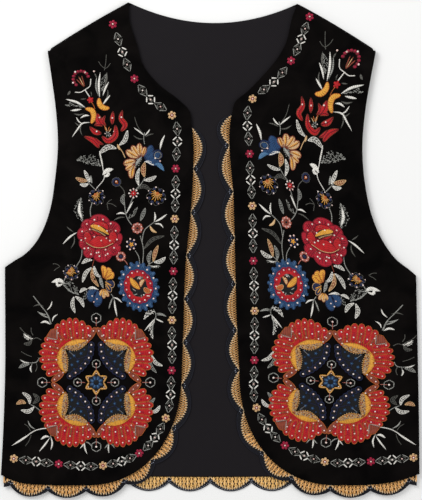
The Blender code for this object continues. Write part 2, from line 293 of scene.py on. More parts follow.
def joined(*lines):
    """Lines that follow on, as one, without the points that repeat."""
    return np.concatenate([lines[0]] + [line[1:] for line in lines[1:]])


def start_lower(line, inset):
    """The line without its first stretch, so that it starts lower by the inset."""
    start = line[0, 1] + inset
    first = np.interp(start, line[:, 1], line[:, 0])
    return np.vstack([[first, start], line[line[:, 1] > start]])


# %% The edges of one front


def front_corner(side, start, end):
    """The rounded front corner, a quarter of a superellipse: the sine and cosine of the
    turn, each to the power 2 over its squareness."""
    edge = column_pair(INNER_EDGE, side)[-1]
    hem = column_pair(FRONT_HEM, side)[0]
    turn = np.linspace(start, end, 60) * np.pi / 2
    across = 1 - np.cos(turn).clip(0.0) ** (2 / CORNER_POWER)
    down = np.sin(turn) ** (2 / CORNER_POWER)
    return edge + (hem - edge) * np.stack([across, down], axis=1)


def front_edge(side, first_row, last_row):
    """The neckline and front edge between two rows of their table, by drop."""
    fine = smooth(column_pair(INNER_EDGE, side))
    drops = column_pair(INNER_EDGE, side)[:, 1]
    return fine[(fine[:, 1] >= drops[first_row]) & (fine[:, 1] <= drops[last_row])]


def front_hem(side, end_in):
    """The straight part of a front's hem, ending short of the side seam."""
    hem = smooth(column_pair(FRONT_HEM, side))
    return hem[hem[:, 0] <= HALF_WIDTH - end_in]


def bowed_shoulder(inner, tip, count):
    """The shoulder seam: a straight line raised in its middle by 4 t (1 - t) bows."""
    t = np.linspace(0.0, 1.0, count + 1)[:, None]
    line = inner + (tip - inner) * t
    line[:, 1] -= SHOULDER_BOW * 4 * t[:, 0] * (1 - t[:, 0])
    return line


# %% Rows of the pattern, from the shoulder to the hem
ARMHOLE_ROWS, SIDE_ROWS = 18, 10


def outer_line(side, fine, top_inset, armhole_inset, side_inset):
    """The armhole and the side as one line of fine steps for each pattern row, moved in
    by one inset beside the armhole and by another below it."""
    hole = start_lower(smooth(column_pair(ARMHOLE, side)), top_inset)
    seam = smooth(column_pair(SIDE, side))
    line = joined(evenly(hole, ARMHOLE_ROWS * fine), evenly(seam, SIDE_ROWS * fine))
    row = np.arange(len(line)) / fine
    turning = [ARMHOLE_ROWS - 2, ARMHOLE_ROWS - 1]
    line[:, 0] -= np.interp(row, turning, [armhole_inset, side_inset])
    return line


def side_strength(count, fine):
    """How far each row turns over at its side: none above the underarm, all below."""
    turning = [ARMHOLE_ROWS - 2, ARMHOLE_ROWS - 1, ARMHOLE_ROWS]
    return np.interp(np.arange(count) / fine, turning, [0.0, 0.4, 1.0])


def patch(top, bottom, first, last):
    """A grid filling four edge lines, as a Coons patch: the blend of top and bottom, plus
    the blend of the two sides, less the blend of the four corners."""
    v = np.linspace(0.0, 1.0, len(first))[:, None, None]
    u = np.linspace(0.0, 1.0, len(top))[None, :, None]
    corners = (
        (1 - u) * (1 - v) * top[0]
        + u * (1 - v) * top[-1]
        + (1 - u) * v * bottom[0]
        + u * v * bottom[-1]
    )
    return (1 - v) * top + v * bottom + (1 - u) * first[:, None] + u * last[:, None] - corners


# %% Seams that turn over
TURN_STEPS = 6


def turned_over(grid, heights, sense, both_sides, side, shoulder):
    """The grid with steps added round a quarter circle at its shoulders and sides: out by
    the radius times the sine, and up or down by the radius times one less the cosine.
    Where a row or a column doesn't turn, its steps run on flat."""
    rows, columns = heights.shape
    lead = TURN_STEPS if both_sides else 0
    row_place = np.arange(rows + TURN_STEPS) - TURN_STEPS
    column_place = np.arange(lead + columns + TURN_STEPS) - lead
    row = row_place.clip(0, rows - 1)
    column = column_place.clip(0, columns - 1)
    row_step = np.abs(row_place - row)[:, None]
    column_step = (column_place - column)[None, :]
    angle = np.linspace(0.0, np.pi / 2, TURN_STEPS + 1)
    flat_reach = TURN * np.arange(TURN_STEPS + 1) / TURN_STEPS
    bent_reach = TURN * np.sin(angle)
    side = side[row][:, None]
    shoulder = shoulder[column][None, :]

    def reach(step, strength):
        return flat_reach[step] + (bent_reach - flat_reach)[step] * strength

    at = grid[row][:, column]
    x = at[..., 0] + np.sign(column_step) * reach(np.abs(column_step), side)
    drop = at[..., 1] - reach(row_step, shoulder)
    turned = TURN * (1 - np.cos(angle))
    fall = np.maximum(side * turned[np.abs(column_step)], shoulder * turned[row_step])
    return np.dstack([x, drop, heights[row][:, column] + sense * fall])


# %% [markdown]
# ## Velvet, lining and lace as sheets
#
# Each sheet is a grid on its pattern piece, with a Solidify modifier for the cloth's wall
# and a small Bevel, because a folded edge of velvet is round. A cloth simulation would
# hardly move cloth that lies flat, so the soft creases are listed: each is a long low
# ridge on a front.

# %% Soft creases and the swell between the seams
CROWN = 1.2
CREASES = (
    ("right", 318.0, 205.0, 42.0, 9.0, 0.7, 70.0),
    ("right", 250.0, 60.0, 60.0, 12.0, 0.5, 10.0),
    ("left", 330.0, 208.0, 46.0, 9.0, 0.7, 68.0),
    ("left", 280.0, 62.0, 55.0, 11.0, 0.6, 12.0),
    ("left", 95.0, 150.0, 34.0, 9.0, 0.5, 40.0),
)


def crease_lift(side, out, drop):
    """Each crease adds its height times exp of minus (run / half length) squared minus
    (offset / half width) squared, in its own leaning directions."""
    lift = np.zeros(out.shape)
    for front, at_drop, at_out, half_length, half_width, height, lean in CREASES:
        if front == side:
            lean = np.radians(lean)
            run = (out - at_out) * np.sin(lean) + (drop - at_drop) * np.cos(lean)
            off = (out - at_out) * np.cos(lean) - (drop - at_drop) * np.sin(lean)
            lift += height * np.exp(-((run / half_length) ** 2) - (off / half_width) ** 2)
    return lift


# %% The middle surface of a front
FRONT_COLUMNS = 11


def front_points(side, fine):
    """A front as a grid of (out, drop, height): a Coons patch whose height is a sine
    swell across times the root of a sine swell down, with the creases on top."""
    inset = TURN + FRONT_THICK / 2
    upper = start_lower(front_edge(side, 0, WAIST_ROW), inset)
    lower = joined(front_edge(side, WAIST_ROW, -1), front_corner(side, 0.0, 0.5))
    inner = joined(evenly(upper, ARMHOLE_ROWS * fine), evenly(lower, SIDE_ROWS * fine))
    outer = outer_line(side, fine, inset, TURN, inset)
    top = bowed_shoulder(inner[0], outer[0], FRONT_COLUMNS * fine)
    hem = joined(front_corner(side, 0.5, 1.0), front_hem(side, inset))
    bottom = evenly(np.vstack([hem, outer[-1]]), FRONT_COLUMNS * fine)
    inner[-1] = bottom[0]
    grid = patch(top, bottom, inner, outer)
    v = np.linspace(0.0, 1.0, len(inner))[:, None]
    u = np.linspace(0.0, 1.0, len(top))[None, :]
    swell = np.sin(np.pi * u) * np.sqrt(np.sin(np.pi * v).clip(0.0))
    creases = crease_lift(side, grid[..., 0], grid[..., 1])
    lift = swell * CROWN + np.minimum(1.0, swell / 0.4) * creases
    strength = side_strength(len(inner), fine)
    return turned_over(grid, FRONT_Z + lift, -1, False, strength, np.ones(len(top)))


# %% The middle surfaces of the back and its lining
SHOULDER_COLUMNS, NECK_COLUMNS = 5, 12


def back_top(fine, shoulder_inset, neck_inset):
    """The top edge from shoulder tip to shoulder tip, by way of a neck that is a
    parabola, lower than a straight line by 4 t (1 - t) depths."""
    ends = {}
    for side in ("right", "left"):
        outward = np.array([OUTWARD[side], 1.0])
        ends[side] = [column_pair(t, side)[0] * outward for t in (INNER_EDGE, ARMHOLE)]
    (right, right_tip), (left, left_tip) = ends["right"], ends["left"]
    t = np.linspace(0.0, 1.0, NECK_COLUMNS * fine + 1)[:, None]
    neck = right + (left - right) * t
    neck[:, 1] += NECK_DEPTH * 4 * t[:, 0] * (1 - t[:, 0]) + neck_inset
    first = bowed_shoulder(right, right_tip, SHOULDER_COLUMNS * fine)[::-1]
    last = bowed_shoulder(left, left_tip, SHOULDER_COLUMNS * fine)
    first[:, 1] += shoulder_inset
    last[:, 1] += shoulder_inset
    neck[-1] = last[0]
    return joined(first, neck, last)


def back_grid(fine, shoulder_inset, neck_inset, armhole_inset, side_inset, hem_inset):
    """The back in plan as a grid of (x, drop), each edge moved in by its inset."""
    insets = (fine, shoulder_inset, armhole_inset, side_inset)
    right = outer_line("right", *insets) * (-1.0, 1.0)
    left = outer_line("left", *insets)
    top = back_top(fine, shoulder_inset, neck_inset)
    top[0], top[-1] = right[0], left[0]
    hem = smooth([(x, drop) for drop, x in BACK_HEM])
    for line in (hem, right[-1:], left[-1:]):
        line[:, 1] -= hem_inset
    inside = (hem[:, 0] > right[-1, 0]) & (hem[:, 0] < left[-1, 0])
    hem = np.vstack([right[-1], hem[inside], left[-1]])
    return patch(top, evenly(hem, len(top) - 1), right, left)


def back_points(fine):
    """The back as a grid of (x, drop, height), turned up at its shoulders and sides."""
    inset = TURN + BACK_THICK / 2
    grid = back_grid(fine, inset, TURN, TURN, inset, 0.0)
    turning = np.ones(grid.shape[1])
    neck = slice(SHOULDER_COLUMNS * fine, -SHOULDER_COLUMNS * fine)
    turning[neck] = 0.0
    turning[neck][[0, -1]] = 0.8
    heights = np.full(grid.shape[:2], BACK_Z)
    strength = side_strength(len(grid), fine)
    return turned_over(grid, heights, 1, True, strength, turning)


# %% From a grid of points to a piece of cloth


def grid_faces(rows, columns, wrap=False):
    """Four-cornered faces between neighbours on a grid whose points are in row order. With
    wrap, the last column joins the first."""
    index = np.arange(rows * columns).reshape(rows, columns)
    if wrap:
        index = np.hstack([index, index[:, :1]])
    corners = (index[:-1, :-1], index[1:, :-1], index[1:, 1:], index[:-1, 1:])
    return np.stack([c.ravel() for c in corners], axis=1)


def new_piece(name, points, faces, material, uv=None):
    """A mesh object at the origin from arrays of points (metres), faces, and a UV for
    each point."""
    mesh = bpy.data.meshes.new(name)
    mesh.from_pydata(points.tolist(), [], faces.tolist())
    if uv is not None:
        layer = mesh.uv_layers.new(name="thread")
        layer.data.foreach_set("uv", uv[faces.ravel()].astype(np.float32).ravel())
    mesh.polygons.foreach_set("use_smooth", np.ones(len(faces), bool))
    mesh.materials.append(material)
    piece = bpy.data.objects.new(name, mesh)
    bpy.context.scene.collection.objects.link(piece)
    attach(piece, "root")
    return piece


def in_metres(points):
    """(x, drop, height) in millimetres as x, y and z in metres."""
    x, drop, height = np.moveaxis(points, -1, 0)
    return np.stack([x, MIDDLE_DROP - drop, height], axis=-1) * MM


def cloth(name, points, thick, rounding, material):
    """A sheet of cloth with a wall and a rounded edge. Faces look up, so a grid of the
    right half has its columns turned round."""
    rows, columns = points.shape[:2]
    places = in_metres(points).reshape(-1, 3)
    piece = new_piece(name, places, grid_faces(rows, columns), material)
    give_wall(piece, thick)
    round_edge = piece.modifiers.new("round_edge", "BEVEL")
    round_edge.width = rounding * MM
    round_edge.segments = 3
    round_edge.limit_method = "ANGLE"
    print_made(name, piece)
    return piece


def on_its_side(side, points):
    """Distances out as x: for the right front x is negative and the columns turn round."""
    flipped = points * (OUTWARD[side], 1.0, 1.0)
    return flipped[:, ::-1] if side == "right" else flipped


# %% [markdown]
# ## Cotton velvet
#
# Velvet is woven with a short cut pile. Seen from above the eye looks down between the
# fibres, which swallow the light, so black velvet is the blackest cloth there is. At a
# low angle the sides of the fibres catch light, and folds and edges get a soft grey
# bloom. A sheen layer gives that bloom, and the shader's plain gloss is nearly off. The
# nap lies in slightly different directions where hands have brushed it, so it catches
# the light unevenly; that is painted into the colour as faint clouds of sheen a few
# centimetres wide.

# %% Velvet, pile about 0.5 mm apart, drawn at 0.9 mm
PILE_MM = 0.9
NAP_SHEEN_CLOUD_MM = 38.0

velvet, tree, shader = new_material(
    "black_cotton_velvet",
    Roughness=0.92,
    Specular_IOR_Level=0.03,
    Sheen_Weight=0.08,
    Sheen_Roughness=0.34,
    Sheen_Tint=paint("#8C8682"),
)
place = add(tree, "ShaderNodeTexCoord").outputs["Object"]
pile = add(
    tree,
    "ShaderNodeTexNoise",
    {"Vector": place, "Scale": 1 / (PILE_MM * MM), "Detail": 2.0, "Roughness": 0.6},
)
# Painted sheen: faint lighter clouds in the colour, where the brushed nap would catch more light
nap = noise(tree, place, NAP_SHEEN_CLOUD_MM, Detail=3.0, Distortion=0.6)
painted_nap_sheen_tone = tone_between(tree, nap, "#060505", "#120F0E", 0.35, 0.72)
pile_tone = add(
    tree,
    "ShaderNodeMix",
    {"Factor": 0.35, "A": painted_nap_sheen_tone, "B": pile.outputs["Color"]},
    data_type="RGBA",
    blend_type="MULTIPLY",
)
pile_bump = bump(tree, pile.outputs["Fac"], 0.25, 0.5)
tree.links.new(pile_tone.outputs["Result"], shader.inputs["Base Color"])
tree.links.new(pile_bump, shader.inputs["Normal"])

# %% [markdown]
# ## Charcoal lining
#
# The lining is thin polyester satin: smooth, closely woven and a little lighter than the
# velvet, with fine slanting twill lines and very soft puckers near the neck.

# %% Lining, a twill line every 0.6 mm, drawn at 1.4 mm
TWILL_MM = 1.4
PUCKER_MM = 26.0

lining, tree, shader = new_material(
    "charcoal_satin_lining", Roughness=0.6, Specular_IOR_Level=0.08
)
place = add(tree, "ShaderNodeTexCoord").outputs["Object"]
twill = add(
    tree,
    "ShaderNodeTexWave",
    {"Vector": place, "Scale": 2 * np.pi / (20 * TWILL_MM * MM), "Distortion": 0.4},
    bands_direction="DIAGONAL",
)
twill = twill.outputs["Fac"]
pucker = noise(tree, place, PUCKER_MM, Detail=2.0)
twill_tone = tone_between(tree, twill, "#151316", "#1D1A1D")
pucker_bump = bump(tree, pucker, 2.2, 0.35, Normal=bump(tree, twill, 0.06, 0.5))
tree.links.new(twill_tone, shader.inputs["Base Color"])
tree.links.new(pucker_bump, shader.inputs["Normal"])

# %% The velvet and the lining laid out
FINE = 4
LINING_INSETS = (4.2, 0.8, 1.5, 4.2, 0.8)

back = cloth("back_velvet_cloth", back_points(FINE), BACK_THICK, 0.5, velvet)
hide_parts("back_velvet")

plan = back_grid(FINE, *LINING_INSETS)
lining_points = np.dstack([plan, np.full(plan.shape[:2], LINING_Z)])
back_lining = cloth("back_lining_cloth", lining_points, LINING_THICK, 0.3, lining)
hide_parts("back_lining")

fronts = {}
for side in ("right", "left"):
    points = on_its_side(side, front_points(side, FINE))
    fronts[side] = cloth(f"{side}_front_cloth", points, FRONT_THICK, 0.6, velvet)
    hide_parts(f"{side}_front_velvet")

# %% [markdown]
# ## Threads, beads and sheets from grids
#
# Lace and embroidery are hundreds of small things of a few kinds, so each kind is one
# grid of points worked out for all its copies at once: an array with the copies first,
# then rows, then columns. A mirrored or turned copy can come out inside out, and the sign
# of the volume under each copy tells which ones need their faces turned round.

# %% Many shapes sewn into one piece


def sewn(name, shapes, material, place):
    """One piece from a list of (points, uv, wrap), with points as copies x rows x columns.
    place turns them to metres. A copy's volume is the sum of a . (b x c) over its faces,
    measured from the middle of its lowest level; where it is negative, faces turn."""
    points, uvs, faces = [], [], []
    first = 0
    for shape, uv, wrap in shapes:
        count, rows, columns = shape.shape[:3]
        at = place(shape).reshape(count, rows * columns, 3)
        own = grid_faces(rows, columns, wrap=wrap)
        base = at.mean(axis=1, keepdims=True)
        base[..., 2] = at[..., 2].min(axis=1, keepdims=True)
        a, b, c, d = (at[:, own[:, i]] - base for i in range(4))
        volume = (a * np.cross(b, c) + a * np.cross(c, d)).sum(axis=(1, 2))
        start = first + np.arange(count) * rows * columns
        whole = own[None] + start[:, None, None]
        whole[volume < 0] = whole[volume < 0][:, :, ::-1]
        points.append(at.reshape(-1, 3))
        uvs.append(np.broadcast_to(uv, (count, rows, columns, 2)).reshape(-1, 2))
        faces.append(whole.reshape(-1, 4))
        first += count * rows * columns
    piece = new_piece(
        name, np.concatenate(points), np.concatenate(faces), material, np.concatenate(uvs)
    )
    print_made(name, piece)
    return piece


# %% A thread along a line, and a bead


def threads(lines, radius, sides=6, squash=1.0, twist_mm=0.0):
    """A circle carried along each of many lines (copies x points x 3, in millimetres):
    the point plus radius times (cosine across, sine up). The first and last circle close
    to a point. A twist swells the radius in a screw, as plies do in a cord."""
    lines = np.asarray(lines, float)
    size = np.broadcast_to(np.asarray(radius, float), lines.shape[:2])
    size = np.pad(size, ((0, 0), (1, 1)))[..., None] * np.ones(sides)
    lines = np.concatenate([lines[:, :1], lines, lines[:, -1:]], axis=1)
    step = np.gradient(lines[..., :2], axis=1)
    step /= np.linalg.norm(step, axis=2, keepdims=True).clip(1e-6)
    run = np.cumsum(np.linalg.norm(np.diff(lines, axis=1, prepend=lines[:, :1]), axis=2), axis=1)
    turn = np.linspace(0.0, 2 * np.pi, sides, endpoint=False)
    if twist_mm:
        size *= 1 + 0.16 * np.cos(2 * np.pi * run[..., None] / twist_mm + 2 * turn)
    x = lines[..., None, 0] - step[..., None, 1] * np.cos(turn) * size
    drop = lines[..., None, 1] + step[..., None, 0] * np.cos(turn) * size
    height = lines[..., None, 2] + np.sin(turn) * size * squash
    uv = np.stack([run[..., None] * np.ones(sides), turn * np.ones(size.shape)], axis=-1)
    return np.stack([x, drop, height], axis=-1), uv, True


def beads(centres, radius, tall=0.8):
    """Round glass beads with a dimple where the thread goes in: circles whose distance
    out is the sine of the tilt and whose height is its cosine, lowered at the middle."""
    centres = np.atleast_2d(np.asarray(centres, float))
    radius = np.broadcast_to(np.asarray(radius, float), len(centres))[:, None, None]
    tilt = np.linspace(0.0, 0.62 * np.pi, 4)[:, None]
    turn = np.linspace(0.0, 2 * np.pi, 7, endpoint=False)[None, :]
    rise = np.cos(tilt) - 0.35 * np.exp(-((tilt / 0.45) ** 2))
    x = centres[:, None, None, 0] + radius * np.sin(tilt) * np.cos(turn)
    drop = centres[:, None, None, 1] + radius * np.sin(tilt) * np.sin(turn)
    height = centres[:, None, None, 2] + radius * tall * (rise + 0.35) + 0.0 * turn
    uv = np.stack(np.broadcast_arrays(tilt + 0 * turn, turn + 0 * tilt), axis=-1)
    return np.stack([x, drop, height], axis=-1), uv, True


# %% [markdown]
# ## Scalloped lace
#
# This lace is worked on a machine in thick gold thread, with ribs that fan out in each
# scallop, a knitted ground between them, and a net and rim in navy. A thin sheet is the
# ground, dark brown as painted shade in the gaps between the knit threads. The ribs, the
# crossing threads, the cream teeth and the rim are real threads on it, so the edge looks
# worked from any side. Pale beads at the notches are painted glints on the dark navy
# knots there. The colours are old gold, which is warmer and duller on the front edges
# than on the back hem, as in the photo.

# %% Lace and thread materials: viscose, softly shiny, in bundles 2 mm apart
PLY_MM, DRIFT_MM = 2.0, 4.0


def thread_material(name, light, dark, shine=0.42, ply_mm=PLY_MM):
    """Twisted thread: painted shade where plies meet and painted light on their backs, a
    wave along the piece's own UV, which is in millimetres, with a slow drift of the
    thread's own tone along the work."""
    made, tree, shader = new_material(name, Roughness=shine, Specular_IOR_Level=0.22)
    uv = add(tree, "ShaderNodeUVMap", uv_map="thread").outputs["UV"]
    place = add(tree, "ShaderNodeTexCoord").outputs["Object"]
    plies = add(
        tree,
        "ShaderNodeTexWave",
        {"Vector": uv, "Scale": 2 * np.pi / (20 * ply_mm), "Distortion": 0.6, "Detail": 1.0},
        bands_direction="X",
    )
    plies = plies.outputs["Fac"]
    drift = noise(tree, place, DRIFT_MM, Detail=2.0)
    # Painted shade where the plies meet and painted light on their backs, plus a drift of the
    # thread's own tone
    share = add(tree, "ShaderNodeMath", {0: plies, 1: 0.6, 2: drift}, operation="MULTIPLY_ADD")
    tone = tone_between(tree, share.outputs["Value"], dark, light, 0.34, 0.84)
    tree.links.new(tone, shader.inputs["Base Color"])
    tree.links.new(bump(tree, plies, 0.12, 0.6), shader.inputs["Normal"])
    return made


KNIT_MM, RIB_MM, TOOTH_MM, NET_MM, PICOT_MM = 2.7, 4.3, 2.7, 2.6, 1.9
KNIT_RADIUS = 0.34

# Each thread runs from its lighter colour to its darker one: painted light on the backs of its
# plies, painted shade where they meet
# The knit ground is dark brown: painted shade in the gaps between the knit threads
knit_ground_gap_shade = thread_material("knit_ground_painted_gap_shade", "#26170C", "#120B06", 0.7, ply_mm=1.6)
lace_gold = thread_material("old_gold_lace_thread", "#F0B872", "#96622E", 0.5)
back_gold = thread_material("bright_gold_lace_thread", "#FFD084", "#C08A40", 0.45)
lace_cream = thread_material("cream_lace_thread", "#F0D9B4", "#C09868", 0.45)
lace_net = thread_material("navy_net_thread", "#0B0B11", "#060609", 0.7, ply_mm=1.2)
lace_rim = thread_material("dark_navy_rim_thread", "#161724", "#08080D", 0.5)
# Pale blue-grey: painted glints on the dark navy knots at the notches, and the back lace's picots
picot_and_glint_thread = thread_material("picot_thread_and_painted_glints", "#AEB4C4", "#585F72", 0.4)

# %% The plan of a scalloped edge
LACE_UNDER, LACE_NOTCH = 6.0, 7.0
FRONT_TIP, BACK_TIP = 15.0, 17.0
FRONT_SCALLOPS, BACK_SCALLOPS = 12.2, 10
# Notches counted from the lace's start: right front's out and drop, then the left's
FRONT_NOTCHES = (
    (1, 21.5, 194.0, 24.8, 166.9),
    (5, 29.0, 395.4, 31.0, 381.4),
    (7, 40.0, 496.0, 37.4, 474.7),
    (8, 62.8, 538.0, 57.0, 527.2),
    (9, 99.3, 558.0, 93.9, 553.1),
    (12, 232.0, 556.0, 231.9, 557.0),
)
NOTCH_STEPS = 2000
SCALLOP_ROUNDNESS = 0.8
LACE_STARTS_AT = 0.1
LACE_END_IN = 3.6
LACE_STRAIGHTENS = 40.0
LACE_STEPS = 40
RIM_UPRIGHT, RIM_LEVEL = 5.0, 2.2
WEDGE_UPRIGHT, WEDGE_LEVEL = 1.05, 0.8
GOLD_AT_NOTCH = 0.15


def lace_plan(edge, notches, scallops, tip, shallow_start, rims):
    """What a lace's edge needs at each step: how far it reaches (the notch plus a share of
    the rest that is the sine of the run, to a power under one) and how far its gold does,
    which stays inside by the rim, wide where the edge is upright and narrow where level.
    The notches say how the run goes with the count of scallops."""
    steps = np.append(np.arange(0.0, scallops, 1 / LACE_STEPS), scallops)
    edge_run = along(edge)
    ends = np.append(notches[1], edge_run[-1])
    cut = np.interp(steps, np.append(notches[0], scallops), ends)
    path = np.stack([np.interp(cut, edge_run, p) for p in edge.T], axis=1)
    run = along(path)
    arc = np.abs(np.sin(np.pi * steps))
    start = np.clip(2 * steps, LACE_STARTS_AT, 1.0) if shallow_start else 1.0
    notch = LACE_NOTCH * start
    depth = notch + (tip - notch) * arc**SCALLOP_ROUNDNESS
    tangent = np.gradient(path, run, axis=0)
    tangent /= np.linalg.norm(tangent, axis=1)[:, None]
    outward = np.stack([-tangent[:, 1], tangent[:, 0]], axis=1)
    near_side = np.clip((HALF_WIDTH - np.abs(path[:, 0])) / LACE_STRAIGHTENS, 0.0, 1.0)
    outward[:, 0] *= near_side
    outward /= np.linalg.norm(outward, axis=1)[:, None]
    upright = np.abs(tangent[:, 1])
    rim = rims[1] + (rims[0] - rims[1]) * upright
    wedge = WEDGE_LEVEL + (WEDGE_UPRIGHT - WEDGE_LEVEL) * upright
    gold = GOLD_AT_NOTCH + (tip - rim - GOLD_AT_NOTCH) * arc**wedge
    gold = np.minimum(gold, depth - 0.35 * rim)
    plan = {"run": run, "steps": steps, "x": path[:, 0], "drop": path[:, 1]}
    plan |= {"upright": upright, "out_x": outward[:, 0], "out_drop": outward[:, 1]}
    return plan | {"depth": depth, "gold": gold, "half_gold": gold * 0.55}


def notch_runs(side, edge):
    """The count of each notch of a front's lace and how far along the edge it lies: the
    run of whichever of many even steps along the edge is nearest to its place."""
    rows = np.array(FRONT_NOTCHES)
    places = rows[:, 1:3] if side == "right" else rows[:, 3:5]
    steps = evenly(edge, NOTCH_STEPS)
    nearest = ((steps[:, None] - places[None]) ** 2).sum(axis=2).argmin(axis=0)
    return np.append(0.0, rows[:, 0]), np.append(0.0, along(steps)[nearest])


def at_run(plan, key, run):
    """What the plan says under a key at any distances run."""
    return np.interp(run, plan["run"], plan[key])


def on_lace(plan, run, depth, height):
    """Points on a lace from distances run and depths: the edge's point at that run plus
    the outward direction there times the depth."""
    x = at_run(plan, "x", run) + at_run(plan, "out_x", run) * depth
    drop = at_run(plan, "drop", run) + at_run(plan, "out_drop", run) * depth
    return np.stack(np.broadcast_arrays(x, drop, height), axis=-1)


def lace_sheet(plan, shares, low, high, height):
    """A flat strip between two depths of the plan, as a grid of run and share of depth."""
    run = plan["run"][:, None]
    depth = low[:, None] + (high - low)[:, None] * shares
    points = on_lace(plan, run, depth, height)
    uv = np.stack(np.broadcast_arrays(run, depth), axis=-1)
    return points[None], uv[None], False


# %% Threads worked on the lace
RIM_TWIST_MM = 1.6
TOOTH_INSIDE = 1.9


def crossing_threads(plan, pitch_mm, lean, low, high, height, radius):
    """Slanting threads of the knitted ground: each starts at its own run and goes out to
    its limit while it runs on by lean times the depth."""
    start = np.arange(pitch_mm, plan["run"][-1] - pitch_mm, pitch_mm)[:, None]
    t = np.linspace(0.0, 1.0, 4)[None, :]
    reach = at_run(plan, high, start)
    run = (start + lean * reach * t).clip(0.3, plan["run"][-1] - 0.3)
    inner = at_run(plan, low, run) if isinstance(low, str) else low
    depth = inner + (at_run(plan, high, run) - inner) * t
    return threads(on_lace(plan, run, depth, height), radius, 4)


def rib_threads(plan, pitch_mm, height, radius, most_upright):
    """Ribs straight out from the cloth to the gold's limit, fat in their middles, on the
    part of the edge that is level enough."""
    run = np.arange(pitch_mm / 2, plan["run"][-1], pitch_mm)
    run = run[at_run(plan, "upright", run) <= most_upright][:, None]
    t = np.linspace(0.0, 1.0, 5)[None, :]
    depth = at_run(plan, "gold", run) * t
    fat = radius * (0.75 + 0.25 * np.sin(np.pi * t)) + 0 * run
    return threads(on_lace(plan, run, depth, height), fat, 5, 0.8)


def edge_thread(plan, depth, height, radius):
    """A cord that follows a depth of the plan all the way."""
    line = on_lace(plan, plan["run"], depth, height)
    return threads(line[None], radius, 6, 0.9, RIM_TWIST_MM)


def edge_teeth(plan, pitch_mm, height, radius):
    """Short pale stitches that cross the gold's limit, each a little in and a little out,
    and less far out where the gold is narrow."""
    run = np.arange(pitch_mm, plan["run"][-1], pitch_mm)[:, None]
    t = np.array([[0.0, 0.5, 1.0]])
    limit = at_run(plan, "gold", run)
    depth = limit - TOOTH_INSIDE + (TOOTH_INSIDE + limit / (limit + 1.0)) * t
    return threads(on_lace(plan, run + 0 * t, depth.clip(0.1), height), radius, 4)


def edge_beads(plan, pitch_mm, key, inside, height, radius):
    """Small round knots at even steps along a depth of the plan."""
    run = np.arange(pitch_mm / 2, plan["run"][-1], pitch_mm)
    depth = at_run(plan, key, run) - inside
    return beads(on_lace(plan, run, depth, height), radius, 0.6)


# %% Each lace made: the sheet first, then what is worked on it
GROUND_THICK = 0.5


def make_lace(name, plan, z, flip, hidden, gold_thread, picot):
    """The sheet of one lace and its threads, sewn in the material of each thread. A
    front's lace starts a hidden width under the cloth, and the back's at its edge."""
    under = np.full(len(plan["run"]), -hidden)
    top = z + GROUND_THICK / 2

    def place(points):
        return in_metres(points * (flip, 1.0, 1.0))

    # The ground sheet's dark brown is painted shade in the gaps between the gold threads on it
    ground = sewn(
        f"{name}_ground",
        [lace_sheet(plan, np.linspace(0, 1, 8), under, plan["gold"], z)],
        knit_ground_gap_shade,
        place,
    )
    net = sewn(
        f"{name}_net",
        [lace_sheet(plan, np.linspace(0, 1, 6), plan["gold"] - 0.4, plan["depth"], z - 0.1)],
        lace_net,
        place,
    )
    for sheet in (ground, net):
        give_wall(sheet, GROUND_THICK)
    gold = [
        crossing_threads(plan, KNIT_MM, 0.5, 0.0, "gold", top + 0.05, KNIT_RADIUS),
        crossing_threads(plan, KNIT_MM, -0.5, 0.0, "gold", top + 0.12, KNIT_RADIUS),
        rib_threads(plan, RIB_MM, top + 0.1, 1.0, 0.9),
    ]
    cream = [
        edge_teeth(plan, TOOTH_MM, top + 0.35, 0.5),
        edge_beads(plan, KNIT_MM, "half_gold", 0.0, top + 0.3, 0.5),
    ]
    dark = [
        edge_thread(plan, plan["depth"] - 0.5, top, 0.5),
        crossing_threads(plan, NET_MM, 0.4, "gold", "depth", top - 0.1, 0.22),
        crossing_threads(plan, NET_MM, -0.4, "gold", "depth", top - 0.05, 0.22),
    ]
    notches = np.arange(1, int(plan["steps"][-1]) + 1)
    notches = np.interp(notches, plan["steps"], plan["run"])
    notches = notches[notches < plan["run"][-1] - 2.0]
    # Three pale beads round each notch: painted glints on its dark navy knots
    knot = notches[:, None] + np.array([-2.2, 0.0, 2.0])
    knot_depth = at_run(plan, "depth", knot) * np.array([0.45, 0.7, 0.5])
    pale = [beads(on_lace(plan, knot, knot_depth, top).reshape(-1, 3), 0.5, 0.6)]
    if picot:
        pale.append(edge_beads(plan, PICOT_MM, "depth", 1.45, top, 0.42))
    made = [
        sewn(f"{name}_gold_threads", gold, gold_thread, place),
        sewn(f"{name}_cream_teeth", cream, lace_cream, place),
        sewn(f"{name}_navy_threads", dark, lace_rim, place),
        sewn(f"{name}_picots_and_painted_knot_glints", pale, picot_and_glint_thread, place),
    ]
    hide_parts(name)
    return ground, [net, *made], plan, under


laces = {}
hem = smooth([(x, drop) for drop, x in BACK_HEM])
hem = hem[np.abs(hem[:, 0]) <= HALF_WIDTH - LACE_END_IN]
plan = lace_plan(hem, ([0], [0.0]), BACK_SCALLOPS, BACK_TIP, False, (2.7, 2.7))
laces["back_lace"] = make_lace(
    "back_lace", plan, BACK_LACE_Z, 1.0, -SEAM_GAP, back_gold, True
)
for side in ("right", "left"):
    edge = joined(
        front_edge(side, LACE_STARTS_AT_ROW, -1),
        front_corner(side, 0.0, 1.0),
        front_hem(side, LACE_END_IN),
    )
    notches = notch_runs(side, edge)
    rims = (RIM_UPRIGHT, RIM_LEVEL)
    plan = lace_plan(edge, notches, FRONT_SCALLOPS, FRONT_TIP, True, rims)
    name = f"{side}_front_lace"
    flip = OUTWARD[side]
    laces[name] = make_lace(name, plan, FRONT_LACE_Z, flip, LACE_UNDER, lace_gold, False)

